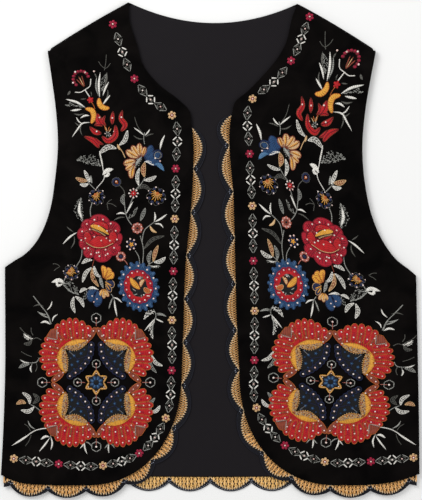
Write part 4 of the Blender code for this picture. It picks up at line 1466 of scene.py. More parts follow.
# %% Leaves: thread, stitch, width, points from base to tip
LEAVES = (
    # the fan over the first yellow crescent
    ("white", "blade", 3.4, (128.1, 112.0), (129.0, 96.0), (127.3, 82.1)),
    ("silver", "blade", 2.4, (129.5, 110.0), (132.2, 100.0), (131.5, 87.0)),
    ("white", "blade", 2.8, (124.5, 110.0), (121.5, 101.0), (117.2, 93.0)),
    ("white", "blade", 2.8, (124.5, 120.0), (120.0, 114.0), (115.6, 108.6)),
    ("silver", "speckled", 6.0, (125.2, 104.0), (123.5, 94.0), (120.5, 84.5)),
    ("grey", "blade", 3.0, (122.4, 99.0), (120.0, 90.0), (119.8, 82.0)),
    ("grey", "blade", 2.0, (121.0, 114.0), (118.5, 108.0), (118.8, 102.0)),
    ("grey", "blade", 2.2, (131.0, 90.0), (132.5, 86.5), (134.0, 83.5)),
    # the fan over the second
    ("white", "blade", 3.4, (144.4, 123.5), (154.0, 117.5), (167.7, 113.5)),
    ("silver", "speckled", 6.5, (147.5, 122.5), (157.0, 119.5), (167.7, 120.5)),
    ("white", "blade", 3.0, (149.0, 125.2), (156.0, 126.3), (162.2, 126.9)),
    ("grey", "blade", 2.4, (145.9, 130.3), (152.0, 131.8), (158.4, 130.3)),
    ("white", "blade", 2.8, (139.7, 132.6), (145.0, 132.6), (150.6, 135.7)),
    ("grey", "blade", 3.4, (165.5, 109.0), (163.8, 107.0), (162.0, 103.5)),
    ("white", "blade", 2.4, (138.2, 140.4), (148.5, 142.0), (154.0, 149.0), (160.5, 158.0)),
    ("white", "blade", 1.9, (147.5, 142.0), (151.0, 140.5), (155.6, 134.0)),
    ("grey", "blade", 1.8, (147.5, 142.7), (152.0, 144.0), (157.0, 140.5)),
    ("grey", "blade", 1.8, (149.0, 142.7), (150.5, 149.0), (148.3, 155.9)),
    ("grey", "blade", 1.8, (143.5, 113.0), (147.0, 113.5), (150.5, 113.5)),
    ("grey", "blade", 1.5, (137.5, 110.5), (137.5, 107.5), (138.5, 104.5)),
    # below the tulip
    ("white", "lacy", 5.4, (105.5, 167.0), (99.8, 162.5), (95.6, 149.8)),
    ("white", "lacy", 6.4, (108.6, 170.7), (117.0, 169.0), (128.4, 176.4)),
    ("cream", "blade", 3.6, (107.5, 165.6), (106.3, 168.6), (104.8, 172.6)),
    ("white", "blade", 2.2, (76.0, 156.0), (81.5, 151.5), (88.9, 146.4)),
    ("white", "blade", 2.2, (76.0, 156.0), (72.5, 152.5), (69.8, 148.2)),
    ("grey", "blade", 1.9, (76.5, 159.8), (82.5, 159.5), (89.2, 155.9)),
    ("grey", "blade", 1.9, (75.5, 157.5), (71.0, 155.0), (65.1, 153.6)),
    ("white", "blade", 3.2, (58.2, 172.6), (56.5, 164.0), (52.5, 154.8)),
    # the long curved stem
    ("silver", "speckled", 11.5, (127.0, 191.0), (138.0, 183.5), (154.5, 183.9)),
    ("white", "blade", 6.6, (124.8, 201.5), (119.5, 196.5), (112.0, 194.5)),
    ("white", "blade", 4.6, (123.0, 203.5), (118.0, 201.0), (119.0, 196.5)),
    ("white", "lacy", 4.4, (139.5, 210.0), (142.5, 203.0), (145.9, 195.8)),
    ("cream", "lacy", 5.4, (142.0, 208.3), (149.0, 207.6), (156.0, 204.6)),
    ("cream", "lacy", 6.2, (76.2, 203.8), (77.6, 196.0), (75.8, 186.6)),
    ("white", "lacy", 4.2, (141.0, 211.6), (145.0, 213.2), (150.9, 212.2)),
    ("silver", "blade", 3.6, (136.9, 211.3), (138.3, 206.5), (138.2, 201.8)),
    ("silver", "speckled", 10.5, (148.0, 255.0), (152.8, 242.0), (149.9, 228.0)),
    ("white", "blade", 4.4, (147.5, 254.0), (151.5, 244.0), (150.5, 230.0)),
    # round the dark ring and the little red flower
    ("silver", "lacy", 5.0, (99.3, 236.5), (101.6, 230.0), (99.5, 223.5)),
    ("white", "blade", 2.6, (97.8, 246.8), (103.0, 245.4), (109.0, 246.9)),
    ("white", "blade", 2.6, (97.6, 246.8), (93.5, 239.0), (89.2, 232.0)),
    ("grey", "blade", 2.2, (98.6, 250.5), (104.0, 250.6), (112.3, 254.2)),
    ("silver", "speckled", 5.0, (95.5, 251.5), (89.5, 247.0), (84.2, 239.0)),
    ("grey", "blade", 1.7, (95.5, 252.5), (88.5, 248.5), (84.2, 239.0)),
    ("grey", "lacy", 5.0, (84.0, 217.5), (77.0, 214.5), (69.2, 219.0)),
    ("white", "lacy", 4.4, (82.8, 213.7), (84.6, 204.0), (82.0, 193.4)),
    ("white", "lacy", 5.0, (76.6, 207.6), (69.0, 206.5), (62.3, 202.7)),
    ("silver", "lacy", 4.6, (80.8, 254.5), (78.0, 247.5), (75.0, 239.6)),
    # the sprig over the blue flower
    ("white", "blade", 2.6, (65.1, 256.1), (63.6, 250.0), (64.6, 244.0)),
    ("white", "blade", 2.8, (64.8, 256.1), (57.0, 252.0), (49.8, 246.5)),
    ("white", "blade", 2.4, (64.5, 258.0), (58.0, 258.5), (54.0, 263.0)),
    ("cream", "blade", 4.0, (70.0, 260.0), (67.0, 265.5), (61.6, 268.4)),
    ("grey", "lacy", 4.6, (77.0, 287.2), (66.5, 276.0), (53.0, 272.0)),
    ("silver", "lacy", 4.4, (70.6, 305.0), (71.3, 297.0), (68.0, 289.0)),
    ("cream", "lacy", 5.2, (66.0, 302.0), (64.0, 292.0), (60.2, 282.8)),
    ("white", "lacy", 5.2, (65.1, 302.4), (58.0, 301.5), (51.6, 296.6)),
    ("silver", "speckled", 5.0, (70.5, 306.0), (64.5, 308.5), (58.5, 306.8)),
    ("white", "blade", 2.0, (69.0, 306.5), (64.5, 307.8), (60.0, 306.5)),
    # left of the rose
    ("white", "blade", 2.8, (153.7, 267.5), (161.0, 272.0), (171.2, 281.8)),
    ("grey", "blade", 1.8, (158.4, 267.4), (162.0, 265.0), (166.3, 261.2)),
    ("grey", "blade", 1.9, (157.6, 271.7), (157.4, 279.0), (161.7, 287.0)),
    ("white", "lacy", 4.6, (136.6, 300.0), (142.0, 299.8), (148.8, 304.0)),
    ("white", "lacy", 4.8, (137.4, 308.5), (143.8, 314.5), (148.0, 325.8)),
    ("cream", "lacy", 5.0, (136.6, 309.0), (136.0, 320.0), (129.2, 330.9)),
    ("white", "lacy", 4.6, (134.6, 307.0), (133.0, 314.5), (127.6, 320.0)),
    # below the dotted flower
    ("white", "blade", 6.0, (168.5, 327.5), (174.0, 323.5), (184.0, 325.8)),
    ("white", "blade", 4.0, (170.0, 327.0), (176.5, 329.5), (178.0, 322.0)),
    ("silver", "speckled", 10.5, (171.8, 327.0), (163.0, 330.0), (152.8, 340.5)),
    ("silver", "blade", 2.0, (171.0, 328.0), (162.0, 336.0), (153.7, 340.0)),
    ("white", "lacy", 4.8, (157.9, 342.5), (159.6, 351.0), (156.5, 361.2)),
    ("white", "lacy", 4.8, (156.3, 342.0), (150.0, 346.5), (146.2, 354.6)),
    ("white", "lacy", 3.8, (151.3, 337.5), (146.5, 333.8), (142.5, 333.8)),
    ("silver", "speckled", 5.0, (147.0, 346.0), (144.0, 341.0), (143.0, 336.0)),
    ("white", "blade", 2.0, (142.8, 333.6), (137.0, 331.2), (131.5, 332.5)),
    ("white", "blade", 2.4, (112.6, 343.0), (107.0, 345.0), (101.8, 349.6)),
    ("silver", "blade", 2.2, (112.8, 343.0), (115.5, 350.0), (117.6, 357.0)),
    ("white", "blade", 2.6, (111.2, 344.0), (110.0, 355.0), (107.8, 365.6)),
    ("silver", "blade", 1.8, (63.8, 362.0), (57.0, 362.0), (50.6, 365.2)),
    ("white", "speckled", 4.6, (66.2, 361.5), (72.0, 362.0), (77.0, 368.6)),
    # twigs above and beside the medallion
    ("white", "blade", 2.2, (189.4, 358.2), (185.0, 353.5), (183.0, 347.2)),
    ("grey", "blade", 1.8, (192.5, 353.4), (199.0, 351.8), (205.5, 353.8)),
    ("silver", "blade", 1.9, (189.2, 363.2), (194.0, 362.5), (200.0, 359.8)),
    ("white", "blade", 2.2, (183.0, 371.5), (181.5, 366.5), (176.5, 362.6)),
    ("silver", "blade", 2.4, (186.3, 367.2), (193.0, 364.5), (200.6, 359.2)),
    ("white", "blade", 3.4, (185.0, 374.6), (191.0, 371.3), (197.0, 372.9)),
    ("white", "speckled", 5.0, (206.0, 391.3), (211.5, 390.0), (216.0, 385.4)),
    ("white", "blade", 2.8, (208.0, 390.6), (212.0, 388.8), (215.6, 385.8)),
    ("grey", "lacy", 4.4, (206.5, 392.3), (210.0, 396.8), (216.0, 396.8)),
    ("white", "blade", 2.4, (208.0, 419.0), (214.5, 418.5), (220.6, 415.4)),
    ("silver", "lacy", 4.6, (209.5, 420.4), (215.5, 421.4), (221.6, 425.0)),
    ("white", "blade", 2.2, (206.6, 421.0), (208.4, 425.5), (206.8, 430.8)),
    ("cream", "lacy", 5.2, (213.5, 465.8), (218.6, 464.2), (224.6, 466.8)),
    ("white", "lacy", 5.0, (209.0, 466.8), (210.0, 459.5), (217.6, 453.4)),
    ("grey", "lacy", 5.0, (205.2, 466.6), (199.8, 460.5), (205.2, 454.5)),
    ("white", "lacy", 5.0, (204.0, 470.0), (210.0, 475.2), (219.3, 473.8)),
    ("white", "blade", 2.8, (207.0, 500.0), (217.0, 507.0), (230.4, 515.4)),
    ("silver", "blade", 2.2, (202.5, 496.3), (208.5, 492.0), (211.4, 485.8)),
    # below the medallion
    ("white", "blade", 3.4, (186.0, 505.0), (190.0, 504.2), (196.6, 508.0)),
    ("white", "blade", 2.4, (185.5, 505.4), (190.5, 512.5), (198.6, 522.4)),
    ("white", "blade", 2.4, (184.8, 504.5), (183.0, 512.0), (184.8, 520.2)),
    ("white", "blade", 1.8, (146.2, 509.5), (147.4, 514.0), (151.0, 518.4)),
    ("white", "blade", 2.4, (146.0, 509.5), (145.4, 517.0), (142.6, 525.0)),
    ("silver", "blade", 1.8, (145.6, 510.5), (141.5, 511.5), (136.9, 516.2)),
    ("silver", "blade", 1.8, (117.6, 512.0), (119.5, 514.8), (122.5, 518.2)),
    ("white", "blade", 2.2, (117.3, 512.0), (118.0, 517.5), (117.2, 524.0)),
    ("silver", "blade", 1.8, (117.0, 512.4), (113.5, 514.0), (110.4, 518.2)),
    # on the front edge side of the medallion
    ("white", "lacy", 4.4, (67.8, 410.4), (63.0, 419.0), (55.0, 422.6)),
    ("silver", "lacy", 4.4, (67.2, 412.0), (69.4, 420.5), (62.2, 430.8)),
    ("silver", "lacy", 4.6, (69.3, 476.2), (69.5, 467.5), (64.0, 459.4)),
    ("white", "lacy", 4.4, (68.8, 476.4), (62.4, 474.6), (58.0, 468.4)),
    ("white", "blade", 2.4, (63.6, 367.4), (68.5, 373.0), (76.4, 382.2)),
    ("white", "blade", 2.2, (63.4, 367.6), (59.0, 370.0), (53.8, 372.2)),
    ("white", "speckled", 5.2, (64.4, 368.5), (69.5, 378.0), (66.4, 391.0)),
    ("silver", "blade", 2.0, (64.0, 366.0), (66.8, 378.0), (66.4, 391.0)),
    ("white", "speckled", 5.0, (64.4, 360.0), (70.5, 360.8), (75.8, 367.4)),
    ("silver", "blade", 1.8, (62.6, 363.6), (57.0, 363.4), (50.8, 365.4)),
)

BLADE_SHARE, LACY_SHARE = 0.82, 0.84
LEAF_GROUND = {"white": "grey", "silver": "black", "grey": "black", "cream": "brown"}


def half_widths(points, width, full, late=1.0, steps=40):
    """The line of a satin shape in even steps, and its half width across at each."""
    line = evenly(smooth(points, 60), steps)
    t = np.linspace(0.0, 1.0, steps + 1)[:, None]
    half = width / 2 * np.sin(np.pi * t**late).clip(0.0) ** full
    return line, sideways(line) * half


def round_edge_of(line, across):
    """The closed edge of a satin shape, for a cord to follow: out along one side of its
    line and back along the other."""
    return np.vstack([line + across, (line - across)[::-1]])


def lacy(thread, points, width):
    """An open leaf: a dark ground, cords round its edge and down its vein, and ribs that
    run from the vein to the edge on either side."""
    satin(LEAF_GROUND[thread], points, width, rise=0.3)
    line, across = half_widths(points, width, 0.8, steps=24)
    rim_cord(thread, round_edge_of(line, across), 0.36, 0.2)
    cord(thread, points, 0.3, 0.3)
    i = np.arange(7, 22, 4)
    for way in (0.9, -0.9):
        bars(thread, line[i - 3], line[i] + across[i] * way, 0.7, 0.5, 0.15)


for thread, radius, *points in STEMS:
    cord(thread, points, radius)
for row, (thread, stitch, width, *points) in enumerate(LEAVES):
    if stitch == "speckled":
        speckled(thread, points, width, seed=row)
    elif stitch == "lacy":
        lacy(thread, points, width * LACY_SHARE)
    else:
        satin(thread, points, width * BLADE_SHARE)
print("stems:", len(STEMS), "leaves:", len(LEAVES))

# %% [markdown]
# ## Flowers
#
# A sewn flower is built from the velvet up: wide patches first, then smaller ones on top,
# then an outline in cord, and beads last. These are the ordinary flowers of folk
# embroidery, such as a tulip, a rose and a round daisy, drawn here from petals and circles
# in the colours and places of the photo, not traced from it.

# %% Petals with a rim, filled shapes and rings of things


def petal(thread, rim, points, width, full=0.55, late=1.3, over=0.0, rim_radius=0.42):
    """A satin petal, wide towards its tip, with a cord round its edge."""
    satin(thread, points, width, full, late, over=over)
    edge = round_edge_of(*half_widths(points, width, full, late))
    rim_cord(rim, edge, rim_radius, over)


def filled(thread, centre, edge, rise=0.7, over=0.0):
    """A patch inside a closed edge line: at share s of the way from its centre to the
    edge, s times one and 1 - s times the other, with a height that falls at the rim."""
    edge = np.asarray(edge, float)
    edge = evenly(np.vstack([edge, edge[:1]]), 60)[:-1]
    share = np.array([0.0, 0.35, 0.7, 0.9, 1.0])[:, None, None]
    place = np.asarray(centre, float) * (1 - share) + edge[None] * share
    height = over - SUNK + rise * (1 - share[..., 0] ** 6) ** 0.5 + np.zeros(len(edge))
    sew(thread, (np.dstack([place, height])[None], place[None], True))


def round_places(centre, wide, tall, count, start=0.0):
    """Even places on an ellipse: the centre plus the radii times cosine and sine."""
    turn = np.radians(start) + np.arange(count) * 2 * np.pi / count
    return np.asarray(centre) + np.stack([wide * np.cos(turn), tall * np.sin(turn)], axis=1)


def spokes(thread, centre, inner, outer, count, width, start=0.0, over=0.0):
    """Strokes that run out from a centre like the spokes of a wheel."""
    starts = round_places(centre, inner, inner, count, start)
    ends = round_places(centre, outer, outer, count, start)
    bars(thread, starts, ends, width, 0.7, over)


def lobed_line(centre, wide, tall, lobes, depth):
    """The edge of a lobed patch as a closed line, for a cord to follow."""
    turn = np.linspace(0.0, 2 * np.pi, 240)
    reach = patch_edge(turn, lobes, depth)[:, None]
    spread = np.stack([wide * np.cos(turn), tall * np.sin(turn)], axis=1)
    return np.asarray(centre) + spread * reach


def pointing(angle):
    """The direction at an angle in radians: its cosine and sine."""
    return np.array((np.cos(angle), np.sin(angle)))


# %% The bud and the two fans
BUD = np.array((149.8, 89.9))
for angle in np.radians(np.linspace(52.0, -162.0, 10)):
    way = pointing(angle)
    disc("wine", BUD + 8.8 * way, 2.2, 1.9, rise=0.6)
    disc("crimson", BUD + 9.2 * way, 1.5, 1.2, rise=0.7, over=0.3)
bars(
    "brown",
    [(145.9, 99.6), (146.4, 99.0), (145.4, 98.6)],
    [(152.6, 87.2), (155.0, 90.6), (149.0, 86.4)],
    1.4,
)
bars("cream", [(146.6, 98.0)], [(151.6, 88.6)], 0.9, over=0.4)
bead([(156.3, 82.1), (158.9, 94.6), (144.8, 82.7), (134.6, 81.4)], 1.5)
disc("red", (138.9, 114.5), 4.0, lobes=5, depth=0.5, rise=0.9)
CRESCENTS = (
    ((128.8, 112.2), (128.2, 119.0), (124.4, 123.2), (116.6, 124.0)),
    ((144.6, 124.4), (136.8, 127.0), (134.8, 133.0), (137.8, 141.8)),
)
for points in CRESCENTS:
    petal("gold", "copper", points, 6.2, full=0.45, late=1.0, rim_radius=0.3)

# %% The tulip: a red cup with flames, rimmed in copper
TULIP = (
    (((125.4, 156.6), (118.6, 162.0), (110.4, 156.6), (109.6, 143.6)), 6.6, 0.55, 1.0),
    (((103.2, 151.0), (98.6, 143.6), (103.4, 136.0), (101.6, 126.2)), 5.8, 0.7, 0.8),
    (((113.4, 143.0), (113.4, 136.0), (112.4, 127.6)), 4.6, 0.8, 0.9),
    (((124.4, 144.6), (128.6, 139.0), (131.0, 130.0)), 8.0, 0.7, 0.8),
    (((120.6, 145.0), (124.4, 139.4), (121.6, 132.6)), 3.8, 0.8, 1.0),
    (((134.4, 144.0), (129.4, 142.6), (124.0, 144.0)), 4.2, 0.8, 1.0),
    (((126.0, 153.6), (133.8, 151.2), (139.8, 145.4)), 5.8, 0.8, 0.8),
    (((128.6, 170.0), (134.0, 162.6), (146.2, 156.6)), 6.2, 0.75, 0.8),
    (((123.4, 166.4), (128.6, 164.0), (134.0, 158.4)), 3.6, 0.8, 1.0),
)
for points, width, full, late in TULIP:
    petal("red", "brown", points, width, full, late, rim_radius=0.34)
    cord("wine", points, 0.4, 0.7)
bars("copper", [(120.6, 150.4), (118.6, 151.0)], [(122.6, 143.6), (116.8, 145.6)], 1.1, over=0.3)
bars("cream", [(119.4, 151.6), (117.4, 152.0)], [(121.0, 146.0), (114.6, 147.6)], 1.0, over=0.5)
spokes("silver", (118.6, 154.0), 0.8, 3.8, 6, 1.1, over=0.4)
disc("black", (121.6, 153.6), 1.7, over=0.5)
bead([(128.1, 134.9), (113.3, 135.5), (102.8, 134.6), (131.4, 151.0)], 1.35, 0.8)
bead([(121.6, 153.6), (115.2, 156.0), (111.8, 151.0)], 0.9, 0.9)

# %% The winged flower, half yellow and half blue
YELLOW_WINGS = (
    (((82.4, 181.4), (90.0, 178.0), (97.4, 173.0)), 9.4),
    (((81.4, 181.0), (87.0, 173.6), (90.6, 167.4)), 8.4),
    (((80.4, 180.4), (82.0, 172.0), (82.0, 164.6)), 8.0),
    (((78.6, 180.4), (77.0, 174.6), (75.0, 169.0)), 6.6),
    (((86.0, 184.4), (93.0, 187.0), (100.4, 188.6)), 9.6),
    (((88.0, 189.0), (94.0, 193.0), (98.0, 195.4)), 7.0),
    (((87.0, 188.6), (91.0, 197.0), (91.4, 205.6)), 7.8),
)
for points, width in YELLOW_WINGS:
    petal("cream", "brown", points, width * 0.9, over=0.1)
    line = np.array(points, float)
    bars("gold", [line[0] * 0.6 + line[1] * 0.4], [line[1] * 0.2 + line[2] * 0.8], 2.2, over=0.7)
    cord("brown", points, 0.34, 1.1)
BLUE_WINGS = (
    (((76.4, 182.0), (71.0, 175.6), (67.6, 167.0)), 8.8),
    (((76.0, 182.6), (67.0, 180.4), (57.6, 173.4)), 10.4),
    (((75.4, 184.0), (67.0, 186.0), (57.4, 186.0)), 9.0),
)
for points, width in BLUE_WINGS:
    petal("blue", "navy", points, width, over=0.1)
satin("sky", ((68.6, 187.4), (60.6, 188.8), (53.2, 196.8)), 5.4, over=0.1)
satin("white", ((76.4, 186.0), (71.0, 186.2), (64.8, 190.6)), 4.0, vein=0.5, over=0.2)
rim_cord("navy", lobed_line((60.6, 178.6), 5.2, 5.2, 9, 0.14), 0.6, 0.5)
rim_cord("silver", lobed_line((60.6, 178.6), 4.0, 4.0, 7, 0.1), 0.32, 0.9)
bead([(63.6, 182.0), (58.0, 185.4)], 1.4, 0.9)
speckled("silver", ((79.0, 178.6), (84.0, 185.6), (90.4, 196.6)), 7.4, seed=301)
satin("silver", ((79.6, 180.0), (83.6, 186.0), (87.0, 192.0)), 3.0, over=0.5)

# %% Small round flowers
FLOWER_RINGS = (
    # thread, rim, centre, radius, hole, lobes, depth
    ("navy", "grey", (108.6, 209.5), 5.4, 0.52, 9, 0.12),
    ("pink", "brown", (84.3, 263.1), 6.6, 0.5, 8, 0.2),
    ("pink", "brown", (103.5, 295.8), 5.8, 0.5, 9, 0.12),
)
for thread, rim, centre, radius, hole, lobes, depth in FLOWER_RINGS:
    disc(thread, centre, radius, lobes=lobes, depth=depth, hole=hole, rise=0.9)
    rim_cord(rim, lobed_line(centre, radius, radius, lobes, depth), 0.32, 0.1)
disc("copper", (108.6, 209.5), 1.9, rise=0.9)
bars("copper", [(108.2, 210.0)], [(105.8, 212.6)], 1.0)
disc("brown", (84.3, 263.1), 2.9)
disc("black", (84.3, 263.1), 1.7, over=0.4)
disc("navy", (103.5, 295.8), 2.2)
bead(round_places((84.3, 263.1), 5.0, 5.0, 8, 20.0), 0.95, 0.9)
bead(round_places((103.5, 295.8), 4.4, 4.4, 6), 0.8, 0.9)
bead([(108.8, 209.2)], 1.1, 0.9)

# red star flower in white beads
spokes("red", (88.8, 222.7), 0.4, 3.8, 6, 2.2, 15.0)
spokes("silver", (88.8, 222.7), 2.6, 5.0, 8, 0.8, 0.0, over=0.1)
bead(round_places((88.8, 222.7), 5.0, 5.0, 8), 1.35)
bead([(88.8, 222.7)], 0.8, 0.9)

# gold core in white beads, beside the blue flower
spokes("navy", (91.5, 281.8), 1.5, 5.6, 8, 2.2, 22.0)
spokes("gold", (91.3, 282.0), 0.2, 3.2, 5, 1.6, 10.0, over=0.3)
bead(round_places((91.5, 281.6), 5.2, 6.2, 7, 25.0), 1.45)

# %% Gold flowers with long stamens on navy petals
GOLD_FLOWERS = (
    # centre, radius, stamens, the way the fan of stamens opens, in degrees
    ((131.2, 226.7), 9.6, 9, 125.0),
    ((62.8, 225.9), 11.0, 10, 60.0),
    ((160.7, 314.4), 9.4, 11, 140.0),
)
FAN_HALF = 105.0
for centre, radius, count, aim in GOLD_FLOWERS:
    chance = np.random.default_rng(int(radius * 10))
    for place in round_places(centre, radius * 0.72, radius * 0.72, 8, aim):
        disc("navy", place + chance.uniform(-0.8, 0.8, 2), 2.1, lobes=5, depth=0.2, rise=0.5)
    rim_cord("grey", lobed_line(centre, radius, radius, 8, 0.34), 0.26, 0.1)
    heart = np.array(centre) - radius * 0.3 * pointing(np.radians(aim))
    for turn in np.radians(np.linspace(aim - FAN_HALF, aim + FAN_HALF, count)):
        way = pointing(turn)
        long = radius * chance.uniform(0.6, 1.0) * (1.0 - 0.3 * abs(turn - np.radians(aim)) / 1.8)
        bars("gold", [heart], [heart + way * long], 1.0, 0.7, 0.2)
        bars("cream", [heart + way * 1.5], [heart + way * long * 0.8], 0.5, 0.4, 0.7)
    for place in round_places(centre, radius * 0.95, radius * 0.9, 7, aim):
        bead([place + chance.uniform(-0.9, 0.9, 2)], chance.uniform(0.8, 1.3), 0.4)
    disc("copper", heart, 2.0, rise=0.8, over=0.3)

# %% The rose: petals round an open eye, each base to tip and width, outer ones first
ROSE = np.array((128.6, 274.0))
ROSE_PETALS = (
    (((128.0, 270.0), (128.0, 256.0), (126.6, 247.0)), 25.0),
    (((120.0, 272.0), (112.6, 262.0), (109.4, 256.0)), 19.0),
    (((136.0, 270.0), (141.6, 260.0), (145.6, 253.6)), 17.0),
    (((116.0, 276.0), (108.0, 277.6), (103.2, 280.0)), 19.0),
    (((138.0, 274.0), (147.0, 270.0), (154.0, 268.6)), 17.0),
    (((118.0, 282.0), (111.6, 288.0), (107.8, 293.4)), 17.0),
    (((138.0, 280.0), (146.0, 281.6), (151.4, 283.6)), 15.0),
    (((134.0, 284.0), (139.6, 290.6), (143.6, 297.0)), 14.0),
    (((126.0, 282.0), (124.8, 292.0), (122.8, 302.4)), 22.0),
)
ROSE_INNER = (
    (((136.0, 284.0), (141.6, 276.0), (143.4, 266.6)), 10.0),
    (((118.0, 284.0), (113.0, 276.0), (113.0, 266.0)), 10.0),
    (((128.0, 272.0), (128.0, 262.0), (127.6, 254.6)), 21.0),
    (((127.6, 271.0), (127.4, 279.0), (126.6, 287.0)), 26.0),
)
rose_edge = round_places(ROSE, 22.0, 23.0, 40)
filled("ruby", ROSE, rose_edge, 0.3)
for row, (points, width) in enumerate(ROSE_PETALS):
    petal("ruby", "wine", points, width, over=0.25 + 0.05 * row, rim_radius=0.45)
    middle = np.array(points[:2]).mean(axis=0)
    tip = np.array(points[2]) * 0.85 + middle * 0.15
    beside = np.array((tip - middle)[::-1]) * (0.28, -0.28)
    for way in (-1.0, 0.0, 1.0):
        bars("wine", [middle + beside * way * 0.5], [tip + beside * way], 0.7, over=1.1)
for row, (points, width) in enumerate(ROSE_INNER):
    petal("red", "wine", points, width, over=0.9 + 0.1 * row, rim_radius=0.4)
ROSE_EYE = ((138.6, 260.2), (131.0, 262.6), (124.0, 265.8), (117.2, 270.6))
satin("black", np.array(ROSE_EYE) + (0.0, 0.6), 8.6, 0.6, 1.0, over=1.9)
satin("gold", ROSE_EYE, 6.2, 0.6, 0.8, over=2.1)
line = evenly(smooth(ROSE_EYE, 60), 15)
lower = sideways(line)[2:14] * np.sign(sideways(line)[2:14, 1:])
bars("cream", line[2:14] + lower * 2.4, line[2:14] + lower * 4.4, 0.8, over=2.2)
cord("cream", ((143.4, 280.0), (135.6, 284.6), (124.0, 285.4), (112.4, 280.6)), 0.42, 1.9)
ROSE_SEEDS = np.array(((0.0, 0.0), (1.8, 1.0), (-1.4, 2.0)))
for place in round_places(ROSE, 16.4, 17.6, 9, 12.0):
    seeds("pink", place + ROSE_SEEDS, np.array((0.3, 1.9, 1.1)), over=1.2)
bead(round_places(ROSE, 20.8, 21.4, 13, 8.0), 1.4, 1.1)
bead(round_places(ROSE + (1.6, 2.2), 14.2, 15.4, 8, 40.0), 1.3, 1.6)
bead([(126.0, 277.4), (134.0, 273.0), (120.0, 274.8), (129.0, 291.0), (121.0, 294.4)], 1.3, 2.0)

# %% The blue flower: a scalloped ring of blue, one of red, and leaves in a grey eye
BLUE = np.array((83.0, 330.6))
BLUE_WIDE, BLUE_TALL = 22.6, 27.8
BLUE_LEAN = 15.0
BLUE_LEAVES = 20


def leaning(places):
    """Places turned about the blue flower's centre, so that its long axis leans."""
    c, s = pointing(np.radians(BLUE_LEAN))
    x, y = (np.asarray(places, float) - BLUE).T
    return BLUE + np.stack([x * c - y * s, x * s + y * c], axis=1)


def blue_ring(share, count, start=0.0):
    """Even places on the flower's own ellipse, a share of the way out."""
    return leaning(round_places(BLUE, BLUE_WIDE * share, BLUE_TALL * share, count, start))


disc("blue", BLUE, BLUE_WIDE, BLUE_TALL, lobes=16, depth=0.08, rise=0.7, lean=BLUE_LEAN)
bars("blue", blue_ring(0.8, BLUE_LEAVES), blue_ring(1.07, BLUE_LEAVES, 5.0), 4.4, 0.8, 0.2)
bars("sky", blue_ring(0.82, BLUE_LEAVES), blue_ring(1.06, BLUE_LEAVES, 5.0), 0.8, 0.5, 0.8)
bars("sky", blue_ring(0.8, BLUE_LEAVES, 9.0), blue_ring(0.98, BLUE_LEAVES, 4.0), 0.8, 0.5, 0.6)
disc("red", BLUE, 16.6, 20.0, lobes=14, depth=0.07, rise=0.7, over=0.5, lean=BLUE_LEAN)
rim_cord("crimson", leaning(lobed_line(BLUE, 16.6, 20.0, 14, 0.07)), 0.45, 0.7)
bars("crimson", blue_ring(0.55, 26, 3.0), blue_ring(0.68, 26, 3.0), 0.8, 0.5, 1.0)
disc("grey", BLUE, 11.4, 13.8, lobes=9, depth=0.08, rise=0.5, over=1.0, lean=BLUE_LEAN)
disc("black", BLUE, 10.2, 12.4, lobes=7, depth=0.1, rise=0.3, over=1.3, lean=BLUE_LEAN)
petal("gold", "copper", ((92.6, 320.0), (88.6, 326.6), (81.4, 333.6)), 6.2, 0.6, 1.0, 1.5, 0.3)
petal("cream", "copper", ((80.4, 331.0), (79.6, 326.0), (76.0, 322.4)), 4.2, 0.7, 1.0, 1.5, 0.3)
petal("copper", "cream", ((76.6, 332.0), (73.2, 335.4), (68.8, 336.6)), 5.4, 0.6, 1.0, 1.5, 0.3)
satin("silver", ((85.0, 322.0), (81.6, 320.2), (78.4, 320.6)), 2.6, over=1.5)
bars(
    "silver",
    [(86.0, 336.0), (84.0, 339.0), (80.0, 340.0)],
    [(90.0, 333.0), (88.4, 340.6), (79.0, 343.4)],
    1.2,
    over=1.4,
)
bead(blue_ring(0.87, 12, 12.0), 1.45, 0.8)
bead(blue_ring(0.63, 14), 1.25, 1.2)
bead([(76.8, 340.2), (72.6, 341.4), (81.4, 321.4)], 1.1, 1.6)

# %% The small butterfly over a blue heart
WINGS = (
    # thread, rim, points, width
    ("gold", "brown", ((123.6, 321.0), (122.4, 312.6), (125.2, 306.2)), 7.0),
    ("gold", "brown", ((122.4, 321.6), (117.0, 314.4), (118.8, 308.4)), 7.0),
    ("gold", "brown", ((121.6, 322.0), (115.2, 319.4), (112.6, 313.6)), 6.4),
    ("navy", "cream", ((121.4, 325.4), (115.4, 326.0), (112.8, 332.0)), 6.6),
    ("navy", "cream", ((121.0, 327.4), (118.4, 331.0), (115.0, 337.0)), 5.4),
    ("cream", "brown", ((124.6, 333.6), (127.0, 338.6), (128.2, 342.8)), 4.6),
    ("cream", "brown", ((123.4, 333.6), (123.2, 339.0), (123.0, 344.6)), 5.0),
    ("cream", "brown", ((122.4, 333.6), (120.0, 338.6), (117.6, 342.4)), 4.8),
)
for thread, rim, points, width in WINGS:
    petal(thread, rim, points, width, over=0.1, rim_radius=0.3)
    line = np.array(points, float)
    inside = "copper" if thread == "gold" else "gold"
    bars(inside, [line[0]], [line[1] * 0.4 + line[2] * 0.6], 1.1, over=0.8)
satin("silver", ((127.4, 317.4), (126.4, 325.0), (123.6, 333.0)), 3.8, over=0.5)
BODY_STRIPES = np.array([(126.8, 320.0), (126.4, 323.0), (125.8, 326.0), (125.0, 329.0)])
seeds("grey", BODY_STRIPES, np.zeros(len(BODY_STRIPES)), over=1.1)
petal("blue", "navy", ((131.4, 334.0), (137.8, 337.4), (137.6, 348.6)), 9.0, over=0.1)
petal("blue", "navy", ((130.8, 335.0), (129.6, 343.0), (132.0, 354.0)), 9.6, over=0.2)
satin("white", ((140.6, 333.6), (134.6, 332.6), (128.8, 334.4)), 1.9, over=0.9)
